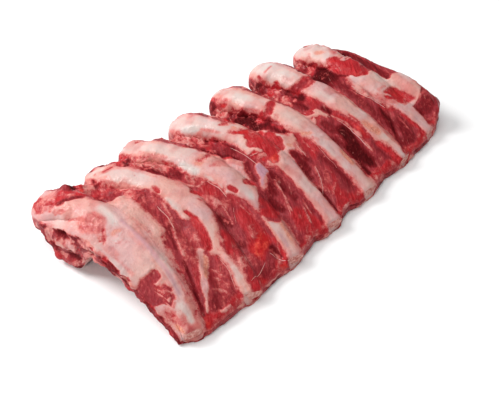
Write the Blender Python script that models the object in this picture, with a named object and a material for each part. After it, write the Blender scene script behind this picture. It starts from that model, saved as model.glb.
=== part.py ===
"""A rack of seven beef back ribs, raw, lying on its hollow side.

The ribs run front to back: the rounded heads are at +Y and the sawn ends at -Y. The rack's length is along X,
from the first rib at -X to the seventh at +X. Seven bones lie in one slab of rib meat, which is arched like a
vault. It stands on its sawn front edge and on a foot of meat under the necks of the bones.
Everything is in metres and Z is up. The shapes are laid out round a working origin near the rack's middle,
and the finished rack is then moved so that the middle of its box's floor is at the scene's origin.
"""

import math

import bmesh
import bpy
import numpy as np

# ---- driving dimensions, in metres ----
HEAD_TIP_Y = 0.093  # the ends of the rib heads
FRONT_Y = -0.0905  # the sawn front edge, at its furthest forward
# The sawn edge from left to right: X, and how far it lies behind FRONT_Y.
FRONT_EDGE = (
    (-0.170, 0.0150),
    (-0.150, 0.0085),
    (-0.122, 0.0010),
    (-0.020, 0.0000),
    (0.060, 0.0025),
    (0.150, 0.0050),
    (0.182, 0.0100),
    (0.204, 0.0180),
)

END_HEIGHT = 0.0120  # top of a bone at its sawn end
HEAD_HEIGHT = (0.041, 0.036)  # level of a head, at the first rib and at the last
ARCH_RISE = (0.0225, 0.017)  # how far the arch rises over the line from head to sawn end
ARCH_SKEW = 0.9  # under 1 puts the crown of the arch nearer the heads

SLAB_THICKNESS = (0.0225, 0.0130)  # from a bone's top to the underside, at the crown and at the front edge
FOOT_Y = (0.052, 0.039)  # the flat sole of the foot, from back to front
FOOT_TO_CROWN = 0.024  # how far in front of the foot the hollow reaches its height
BACK_OVERHANG = 0.019  # how far the meat under the heads leans out behind the foot

LEFT_END = (-0.170, 0.006, -0.161)  # X of the meat's end at the heads, its bow halfway, and X at the front edge
RIGHT_END = (0.182, 0.006, 0.199)
END_FALL = (0.010, 0.005)  # how far the meat's top rolls down to the left end and to the right
LOBE_RISE = 0.013  # the thick lobe of meat at the right front corner

FIT_GAP = 0.0004  # clear room between a bone and the meat round it

# One row a rib, first to last: the middle of the bone at its head, how far it bows sideways halfway along,
# the middle at its sawn end, how far its head stops short of HEAD_TIP_Y, and how large its head is.
RIBS = (
    (-0.151, 0.016, -0.148, -0.001, 1.00),
    (-0.104, 0.022, -0.092, 0.001, 1.02),
    (-0.062, 0.019, -0.041, 0.000, 1.05),
    (-0.003, 0.012, 0.013, 0.003, 1.00),
    (0.057, 0.004, 0.066, 0.001, 1.05),
    (0.117, -0.003, 0.123, 0.001, 1.02),
    (0.169, -0.003, 0.171, 0.008, 1.00),
)

# A bone's section from head to sawn end: share of its length, width and height.
BONE_SECTIONS = (
    (0.00, 0.012, 0.014),
    (0.02, 0.025, 0.024),
    (0.07, 0.033, 0.030),
    (0.14, 0.033, 0.029),
    (0.22, 0.028, 0.024),
    (0.32, 0.027, 0.020),
    (0.45, 0.027, 0.016),
    (0.60, 0.024, 0.0125),
    (0.80, 0.020, 0.0105),
    (1.00, 0.019, 0.0088),
)

# One row a gap between two ribs: where its muscle seam runs (0 at one rib, 1 at the next), how deep the seam is,
# and where along the ribs the meat comes up to fill the gap.
GAPS = (
    (0.62, 0.0045, 0.30),
    (0.45, 0.0040, 0.40),
    (0.40, 0.0045, 0.42),
    (0.42, 0.0050, 0.44),
    (0.58, 0.0060, 0.44),
    (0.55, 0.0045, 0.42),
)
SEAM_WIDTH = 0.10  # in gap widths
GAP_DEPTH_AT_HEADS = 0.020
GAP_DEPTH_IN_FRONT = 0.0035
BONE_STANDS_PROUD = 0.0022  # a bone's top over the meat beside it
HEAD_STANDS_PROUD = 0.0110
HEAD_DROP = 0.006  # how far the tip of a head hangs below the arch

BONE_RING_POINTS = 12
BONE_STATIONS = 14
SLAB_STEPS_PER_GAP = 6
SLAB_TOP_POINTS = 17
SLAB_BACK_POINTS = 3
SLAB_BOTTOM_POINTS = 12

MEAT_COLOUR = (0.42, 0.045, 0.05, 1.0)
BONE_COLOUR = (0.78, 0.56, 0.52, 1.0)


def blend(start, end, share):
    """A straight blend from start to end."""
    return start + (end - start) * share


def smooth(low, high, value):
    """0 below low, 1 above high, and an S-curve between."""
    share = np.clip((np.asarray(value, float) - low) / (high - low), 0.0, 1.0)
    return share * share * (3.0 - 2.0 * share)


def rib_middle(number, along):
    """X of a rib's middle line. number counts from 1 and may lie between two ribs; along is 0 at the heads."""
    middles = [
        head + (end - head) * along + bow * 4.0 * along * (1.0 - along)
        for head, bow, end, *_ in (LEFT_END, *RIBS, RIGHT_END)
    ]
    columns = np.stack(middles)
    place = np.clip(np.asarray(number, float), 0.0, len(RIBS) + 1.0)
    low = np.minimum(place.astype(int), len(RIBS))
    share = place - low
    return np.take_along_axis(columns, low[None], 0)[0] * (1.0 - share) + (
        np.take_along_axis(columns, low[None] + 1, 0)[0] * share
    )


def front_edge(x):
    """Y of the sawn edge."""
    places, set_backs = zip(*FRONT_EDGE, strict=True)
    return FRONT_Y + np.interp(x, places, set_backs)


def depth_of(x, along, head_y=HEAD_TIP_Y):
    """Y of a point at a share of the way from the heads to the sawn edge."""
    return blend(head_y, front_edge(x), along)


def arch_top(x, along):
    """Height of the bones' tops: a straight slope from head to sawn end, and a skewed half sine over it."""
    across = np.clip((x + 0.168) / 0.372, 0.0, 1.0)
    head = blend(*HEAD_HEIGHT, across)
    rise = blend(*ARCH_RISE, across)
    return blend(head, END_HEIGHT, along) + rise * np.sin(
        math.pi * np.clip(along, 0.0, 1.0) ** ARCH_SKEW
    )


def meat_top(number, x, along):
    """Height of the meat: below the bones by a little in front, and by much more between the heads."""
    gap = np.clip(np.floor(number).astype(int), 1, len(RIBS) - 1) - 1
    seam, seam_depth, fills = (np.array(column)[gap] for column in zip(*GAPS, strict=True))
    share = np.asarray(number, float) - gap - 1.0
    inside = (share > 0.0) & (share < 1.0)
    middle = np.where(inside, np.sin(math.pi * np.clip(share, 0.0, 1.0)) ** 0.7, 0.0)
    open_gap = 1.0 - smooth(fills - 0.20, fills + 0.03, along)
    proud = blend(BONE_STANDS_PROUD, HEAD_STANDS_PROUD, 1.0 - smooth(0.10, 0.42, along))
    depth = proud + middle * blend(GAP_DEPTH_IN_FRONT - BONE_STANDS_PROUD, GAP_DEPTH_AT_HEADS - proud, open_gap)
    furrow = np.where(inside, np.exp(-(((share - seam) / SEAM_WIDTH) ** 2)), 0.0)
    depth = depth + furrow * seam_depth * smooth(0.35, 0.5, along) * (1.0 - smooth(0.86, 0.98, along))
    fall = END_FALL[0] * np.clip(1.0 - number, 0.0, 1.0) ** 1.5
    fall = fall + END_FALL[1] * np.clip(number - len(RIBS), 0.0, 1.0) ** 1.5
    depth = depth + fall * blend(1.0, 0.2, smooth(0.5, 1.0, along))
    lobe = smooth(0.2, 0.8, number - len(RIBS)) * smooth(0.5, 0.85, along)
    return arch_top(x, along) - depth + LOBE_RISE * lobe


def underside(x, along):
    """Height of the hollow side: the arch less the slab's thickness, running down to the foot and the front edge."""
    y = depth_of(x, along)
    thickness = blend(*SLAB_THICKNESS, smooth(0.35, 1.0, along))
    hollow = arch_top(x, along) - thickness
    rise = smooth(0.0, FOOT_TO_CROWN, FOOT_Y[1] - y)
    return np.maximum(hollow * rise, 0.0)


def closed_loft(name, rings):
    """A mesh through rings of equal point counts, in order, with both ends capped by flat fans of faces."""
    mesh = bpy.data.meshes.new(name)
    work = bmesh.new()
    loops = [[work.verts.new(point) for point in ring] for ring in rings]
    for first, second in zip(loops, loops[1:]):
        for n, vertex in enumerate(first):
            after = (n + 1) % len(first)
            work.faces.new((vertex, first[after], second[after], second[n]))
    work.faces.new(loops[0][::-1])
    work.faces.new(loops[-1])
    work.normal_update()
    bmesh.ops.triangulate(work, faces=work.faces[:])
    bmesh.ops.recalc_face_normals(work, faces=work.faces[:])
    work.to_mesh(mesh)
    work.free()
    return mesh


def bone_rings(rib, grow=0.0):
    """Oval rings round a rib's middle line, each square to that line. grow makes the bone larger all over."""
    _, _, _, set_back, head_size = RIBS[rib]
    shares, widths, heights = (np.array(column) for column in zip(*BONE_SECTIONS, strict=True))
    stations = np.linspace(0.0, 1.0, BONE_STATIONS) ** 1.25
    along = np.unique(np.concatenate([stations, shares[:3]]))
    head = blend(head_size, 1.0, smooth(0.15, 0.40, along))
    width = np.interp(along, shares, widths) * head
    height = np.interp(along, shares, heights) * head
    x = rib_middle(np.full_like(along, rib + 1.0), along)
    y = depth_of(x, along, HEAD_TIP_Y - set_back)
    drop = HEAD_DROP * (1.0 - smooth(0.0, 0.16, along))
    z = arch_top(x, along) - height / 2.0 - drop
    line = np.stack([x, y, z], -1)
    ahead = np.gradient(line, axis=0)
    ahead /= np.linalg.norm(ahead, axis=1)[:, None]
    side = np.cross(ahead, (0.0, 0.0, 1.0))
    side /= np.linalg.norm(side, axis=1)[:, None]
    up = np.cross(side, ahead)
    turn = np.linspace(0.0, 2.0 * math.pi, BONE_RING_POINTS, endpoint=False)
    across = np.sign(np.cos(turn)) * np.abs(np.cos(turn)) ** 0.85
    upward = np.sign(np.sin(turn)) * np.abs(np.sin(turn)) ** 0.85
    rings = (
        line[:, None]
        + side[:, None] * (width / 2.0 + grow)[:, None, None] * across[None, :, None]
        + up[:, None] * (height / 2.0 + grow)[:, None, None] * upward[None, :, None]
    )
    if grow:
        rings = np.concatenate([rings[:1] - ahead[0] * grow, rings, rings[-1:] + ahead[-1] * 0.01])
    return rings


def slab_rings():
    """Sections through the meat, each following the ribs' bow: over the top, round the front, under and up the back."""
    last = len(RIBS)
    half_gap = SLAB_STEPS_PER_GAP // 2
    left = np.linspace(0.0, 1.0, half_gap, endpoint=False)
    between = np.linspace(1.0, last, SLAB_STEPS_PER_GAP * (last - 1), endpoint=False)
    right = np.linspace(last, last + 1.0, half_gap + 1)
    foot = (HEAD_TIP_Y - FOOT_Y[0]) / (HEAD_TIP_Y - FRONT_Y)
    rings = []
    for number in np.concatenate([left, between, right]):
        near_bone = math.cos(math.pi * (number - round(number))) ** 2
        top_back = foot - BACK_OVERHANG / (HEAD_TIP_Y - FRONT_Y) * blend(0.55, 1.0, near_bone)
        top = np.linspace(0.0, 1.0, SLAB_TOP_POINTS) * (1.0 - top_back) + top_back
        bottom = np.linspace(1.0, foot, SLAB_BOTTOM_POINTS)
        back = np.linspace(foot, top_back, SLAB_BACK_POINTS + 2)[1:-1]
        top_x = rib_middle(np.full_like(top, number), top)
        top_z = meat_top(np.full_like(top, number), top_x, top)
        bottom_x = rib_middle(np.full_like(bottom, number), bottom)
        bottom_z = underside(bottom_x, bottom)
        back_x = rib_middle(np.full_like(back, number), back)
        back_z = blend(bottom_z[-1], top_z[0], (back - foot) / (top_back - foot))
        x = np.concatenate([top_x, bottom_x, back_x])
        along = np.concatenate([top, bottom, back])
        z = np.concatenate([top_z, bottom_z, back_z])
        rings.append(np.stack([x, depth_of(x, along), z], -1))
    return np.stack(rings)


def material(name, colour, roughness):
    """A plain wet-looking finish of one colour."""
    made = bpy.data.materials.new(name)
    made.use_nodes = True
    shader = made.node_tree.nodes["Principled BSDF"]
    shader.inputs["Base Color"].default_value = colour
    shader.inputs["Roughness"].default_value = roughness
    return made


def place(name, rings, finish, collection, centre):
    """One object for the loft through some rings, with its own origin in their middle."""
    middle = rings.reshape(-1, 3).mean(axis=0)
    mesh = closed_loft(name, rings - middle)
    mesh.materials.append(finish)
    mesh.shade_smooth()
    made = bpy.data.objects.new(name, mesh)
    made.location = middle - centre
    collection.objects.link(made)
    return made


def main():
    for leftover in list(bpy.data.objects):
        bpy.data.objects.remove(leftover)
    rack = bpy.data.collections.new("back_ribs")
    cutters = bpy.data.collections.new("bone_beds")
    for collection in (rack, cutters):
        bpy.context.scene.collection.children.link(collection)
    meat = material("rib meat", MEAT_COLOUR, 0.4)
    bone = material("bone and its skin", BONE_COLOUR, 0.45)

    slab_shape = slab_rings()
    bone_shapes = [bone_rings(rib) for rib in range(len(RIBS))]
    points = np.concatenate([shape.reshape(-1, 3) for shape in (slab_shape, *bone_shapes)])
    low, high = points.min(axis=0), points.max(axis=0)
    centre = np.array([(low[0] + high[0]) / 2.0, (low[1] + high[1]) / 2.0, low[2]])

    slab = place("meat", slab_shape, meat, rack, centre)
    for rib, shape in enumerate(bone_shapes):
        place(f"rib_{rib + 1}", shape, bone, rack, centre)
        bed = place(f"bed_{rib + 1}", bone_rings(rib, FIT_GAP), bone, cutters, centre)
        bed.hide_render = True
        bed.display_type = "WIRE"
        cut = slab.modifiers.new(f"bed_{rib + 1}", "BOOLEAN")
        cut.operation = "DIFFERENCE"
        cut.object = bed


main()
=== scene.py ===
"""The looks of a rack of seven raw beef back ribs that lies on its hollow side.

The rack is dressed with one closed surface for the meat and one for each bone. Both take their height and
their tissue from the same functions of a place on the rack, so the skin runs on unbroken from bone to meat.
A place on the rack is given by a number and a share: number 1 to 7 is a rib and 1.5 lies halfway between
two ribs, and along is 0 at the tips of the rib heads and 1 at the sawn edge.
Lengths are in metres, and in millimetres where a name or a comment says so. Z is up.
"""

import itertools
import math

import bpy
import numpy as np
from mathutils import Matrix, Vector


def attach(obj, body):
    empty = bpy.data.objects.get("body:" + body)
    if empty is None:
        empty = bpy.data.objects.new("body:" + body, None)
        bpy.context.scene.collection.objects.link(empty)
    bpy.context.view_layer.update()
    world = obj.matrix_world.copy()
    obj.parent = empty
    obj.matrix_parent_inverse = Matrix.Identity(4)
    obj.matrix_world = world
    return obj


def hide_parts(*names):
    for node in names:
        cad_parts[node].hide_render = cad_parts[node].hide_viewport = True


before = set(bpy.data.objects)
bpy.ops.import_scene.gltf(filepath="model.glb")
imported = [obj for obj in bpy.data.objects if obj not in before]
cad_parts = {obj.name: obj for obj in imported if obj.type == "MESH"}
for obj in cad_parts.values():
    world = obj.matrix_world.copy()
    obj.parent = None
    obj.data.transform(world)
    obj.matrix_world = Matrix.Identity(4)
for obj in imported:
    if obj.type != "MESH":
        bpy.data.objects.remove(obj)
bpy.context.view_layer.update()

MM = 0.001

# ---- the rack's layout ----
CENTRE = np.array([0.01656, 0.00267, 0.0])  # the model's origin, in the frame that the layout is drawn in
HEAD_TIP_Y = 0.093
FRONT_Y = -0.0905
RACK_DEPTH = HEAD_TIP_Y - FRONT_Y
RACK_LEFT_X = -0.168
RACK_WIDTH = 0.372
# How far the sawn edge is set back from FRONT_Y: X and set-back.
FRONT_EDGE = (
    (-0.170, 0.0150),
    (-0.150, 0.0085),
    (-0.122, 0.0010),
    (-0.020, 0.0000),
    (0.060, 0.0025),
    (0.150, 0.0050),
    (0.182, 0.0100),
    (0.204, 0.0180),
)
END_HEIGHT = 0.0120  # of the bones' tops at the sawn edge
HEAD_HEIGHT = (0.041, 0.036)  # of their tops at the heads, at the left and at the right end
ARCH_RISE = (0.0225, 0.017)  # over the slope between the two, at the left and at the right end
ARCH_SKEW = 0.9
SLAB_THICKNESS = (0.0225, 0.0130)  # at the heads and at the sawn edge
FOOT_Y = (0.052, 0.039)  # of the back and of the front of the sole
FOOT_TO_CROWN = 0.024  # the length over which the hollow side rises in front of the sole
LEFT_END = (RACK_LEFT_X, 0.006, -0.158)  # X at the heads, bow halfway, X at the sawn edge
RIGHT_END = (0.180, 0.003, 0.199)
# How much lower the meat's left and right end lie, each at the heads and at the sawn edge.
END_FALL = ((0.004, 0.005), (0.002, 0.001))
LOBE_RISE = 0.013  # of the thick lobe of meat beyond rib 7 in front

# One row a rib: X of its middle at the head, its bow halfway, X of its middle at the sawn end, how far its
# head is set back, the size of its head, and the share of its length over which its tip is rounded off.
RIBS = (
    (-0.151, 0.016, -0.148, -0.004, 1.10, 0.050),
    (-0.104, 0.022, -0.092, 0.002, 1.00, 0.075),
    (-0.062, 0.019, -0.041, -0.001, 1.08, 0.060),
    (-0.003, 0.012, 0.013, 0.003, 1.00, 0.075),
    (0.057, 0.004, 0.066, 0.001, 1.05, 0.075),
    (0.117, -0.003, 0.123, 0.000, 1.04, 0.085),
    (0.171, -0.004, 0.171, 0.013, 0.95, 0.090),
)
LINES = (LEFT_END, *(row[:3] for row in RIBS), RIGHT_END)  # the nine lines that rib numbers count

# A bone from head to sawn end: share of its length, width and height.
BONE_SECTIONS = (
    (0.00, 0.030, 0.027),
    (0.07, 0.033, 0.030),
    (0.14, 0.033, 0.029),
    (0.22, 0.028, 0.024),
    (0.32, 0.027, 0.020),
    (0.45, 0.027, 0.016),
    (0.60, 0.024, 0.0125),
    (0.80, 0.020, 0.0105),
    (1.00, 0.019, 0.0088),
)
BONE_SQUARENESS = 2.35

# One row a gap: where its muscle seam runs, how deep the seam is, where the meat comes up to fill the gap,
# and how deep the gap is between the heads.
GAPS = (
    (0.62, 0.0035, 0.30, 0.009),
    (0.20, 0.0020, 0.40, 0.011),
    (0.26, 0.0022, 0.44, 0.014),
    (0.22, 0.0035, 0.48, 0.019),
    (0.32, 0.0050, 0.46, 0.019),
    (0.30, 0.0040, 0.42, 0.018),
)
SEAM_WIDTH = 0.10
GAP_DEPTH_IN_FRONT = 0.0035
BONE_STANDS_PROUD = 0.0022
HEAD_STANDS_PROUD = 0.0110
HEAD_DROP = 0.006
CROWN = 0.0512
CROWN_MARGIN = 0.0014
FIT_GAP = 0.0004
SINK = 0.25 * MM  # how far the meat's surface dips under a bone's skin where the two meet
SAWN_ROUNDING = 2.2 * MM

# The sawn edge of the meat is scalloped: number, and how far short of the edge it ends, in mm.
SCALLOPS_MM = (
    (0.0, 1.5), (0.6, 0.0), (1.0, -2.0), (1.2, -1.5), (1.4, 1.0), (1.75, 1.0), (2.0, -1.5), (2.3, -1.0),
    (2.6, 0.5), (2.85, -1.5), (3.15, -1.5), (3.35, 1.5), (3.55, 3.5), (3.8, -1.0), (4.15, -1.5), (4.3, 2.0),
    (4.5, 3.5), (4.72, -1.0), (5.1, -1.5), (5.3, 0.5), (5.5, 2.5), (5.75, 0.0), (6.1, -1.5), (6.4, 0.5),
    (6.8, -1.0), (7.1, -1.5), (7.5, -1.0), (8.0, 1.5),
)  # fmt: skip
# The ragged back edge of the meat: number, and along.
BACK_EDGE = (
    (0.0, 0.100), (0.4, 0.060), (0.7, 0.050), (1.0, 0.060), (1.25, 0.035), (1.45, 0.045), (1.65, 0.075),
    (2.0, 0.11), (2.3, 0.10), (2.6, 0.085), (3.0, 0.11), (3.3, 0.12), (3.6, 0.10), (4.0, 0.12), (4.4, 0.15),
    (4.7, 0.10), (5.0, 0.12), (5.4, 0.15), (5.7, 0.10), (6.0, 0.12), (6.4, 0.17), (6.7, 0.15), (7.0, 0.19),
    (7.4, 0.20), (8.0, 0.22),
)  # fmt: skip

# ---- what covers what: the pale skin of each rib, as along, left edge and right edge in rib numbers ----
PALE_STRIPS = (
    ((0.00, -0.6, 1.16), (0.12, -0.6, 1.12), (0.28, -0.6, 1.16), (0.315, -0.6, 1.52), (0.36, -0.6, 1.54),
     (0.42, -0.6, 1.48), (0.58, -0.6, 1.43), (0.61, -0.6, 1.28), (0.70, -0.6, 1.18), (1.00, -0.6, 1.13)),
    ((0.05, 1.55, 2.05), (0.12, 1.62, 2.06), (0.20, 1.60, 2.10), (0.30, 1.58, 2.12), (0.36, 1.68, 2.14),
     (0.40, 1.78, 2.17), (0.50, 1.74, 2.24), (0.60, 1.70, 2.20), (0.64, 1.80, 2.18), (0.70, 1.80, 2.12),
     (0.75, 1.71, 1.97), (0.79, 1.68, 1.92), (0.82, 1.80, 1.95), (0.90, 1.82, 1.99), (1.00, 1.80, 2.04)),
    ((0.05, 2.58, 3.12), (0.20, 2.58, 3.12), (0.30, 2.58, 3.13), (0.35, 2.56, 3.16), (0.40, 2.53, 3.21),
     (0.46, 2.57, 3.30), (0.50, 2.66, 3.44), (0.54, 2.68, 3.52), (0.58, 2.72, 3.33), (0.62, 2.68, 3.26),
     (0.68, 2.80, 3.22), (0.73, 2.87, 3.08), (0.78, 2.88, 2.94), (0.83, 2.88, 2.97), (0.87, 2.88, 3.15),
     (0.93, 2.88, 3.16), (1.00, 2.87, 3.16)),
    ((0.05, 3.50, 4.05), (0.12, 3.46, 4.05), (0.25, 3.48, 4.06), (0.33, 3.58, 4.12), (0.38, 3.62, 4.22),
     (0.42, 3.65, 4.30), (0.50, 3.66, 4.46), (0.56, 3.68, 4.62), (0.60, 3.70, 4.66), (0.63, 3.75, 4.52),
     (0.66, 3.85, 4.24), (0.70, 3.86, 4.20), (0.76, 3.84, 4.15), (0.90, 3.83, 4.14), (1.00, 3.82, 4.14)),
    ((0.05, 4.70, 5.02), (0.12, 4.68, 5.08), (0.20, 4.60, 5.08), (0.27, 4.56, 5.08), (0.35, 4.58, 5.08),
     (0.43, 4.70, 5.15), (0.48, 4.70, 5.22), (0.54, 4.68, 5.27), (0.60, 4.76, 5.22), (0.65, 4.84, 5.20),
     (0.80, 4.84, 5.18), (0.90, 4.83, 5.17), (1.00, 4.82, 5.14)),
    ((0.05, 5.62, 6.12), (0.12, 5.54, 6.13), (0.33, 5.58, 6.12), (0.42, 5.66, 6.19), (0.50, 5.70, 6.22),
     (0.60, 5.72, 6.23), (0.66, 5.80, 6.21), (0.75, 5.85, 6.20), (0.84, 5.82, 6.19), (0.90, 5.90, 6.12),
     (1.00, 5.93, 6.04)),
    ((0.10, 6.60, 7.62), (0.22, 6.55, 7.60), (0.32, 6.62, 7.58), (0.50, 6.66, 7.58), (0.58, 6.56, 7.62),
     (0.66, 6.66, 7.78), (0.70, 6.70, 8.30), (0.83, 6.82, 8.30), (0.86, 6.82, 7.25), (1.00, 6.86, 7.14)),
)  # fmt: skip

# The qualities of the tissue at a place. Strokes lay down the first six, and the last marks sawn bone.
COVER, PEARL_AND_SHEEN, FAT, ROSY, DARK, BRIGHT, SAWN = range(7)
PAINTED = 6  # how many of them strokes lay down
# Each tissue as shares of: pale covering, pearly gristle and painted sheen, granular fat, rosy see-through
# skin, dark, bright.
TISSUES = {
    "fascia": (1.00, 0.0, 0.0, 0.0, 0.0, 0.0),
    "pearl_and_sheen": (1.00, 1.0, 0.0, 0.0, 0.0, 0.0),
    "fat": (1.00, 0.0, 1.0, 0.0, 0.0, 0.0),
    "rosy": (1.00, 0.0, 0.0, 1.0, 0.0, 0.0),
    "lilac": (1.00, 0.3, 0.0, 0.0, 0.8, 0.0),
    "pink": (0.66, 0.0, 0.1, 0.5, 0.0, 0.3),
    "veiled": (0.32, 0.0, 0.0, 0.2, 0.1, 0.1),
    "lean": (0.00, 0.0, 0.0, 0.0, 0.1, 0.0),
    "red": (0.00, 0.0, 0.0, 0.0, 0.0, 0.6),
    "glow": (0.00, 0.0, 0.0, 0.0, 0.0, 1.0),
    "maroon": (0.00, 0.0, 0.0, 0.0, 0.55, 0.0),
    # the darkest meat, and painted shade where it is laid in crevices and hollows
    "deep": (0.00, 0.0, 0.0, 0.0, 1.0, 0.0),
}

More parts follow.
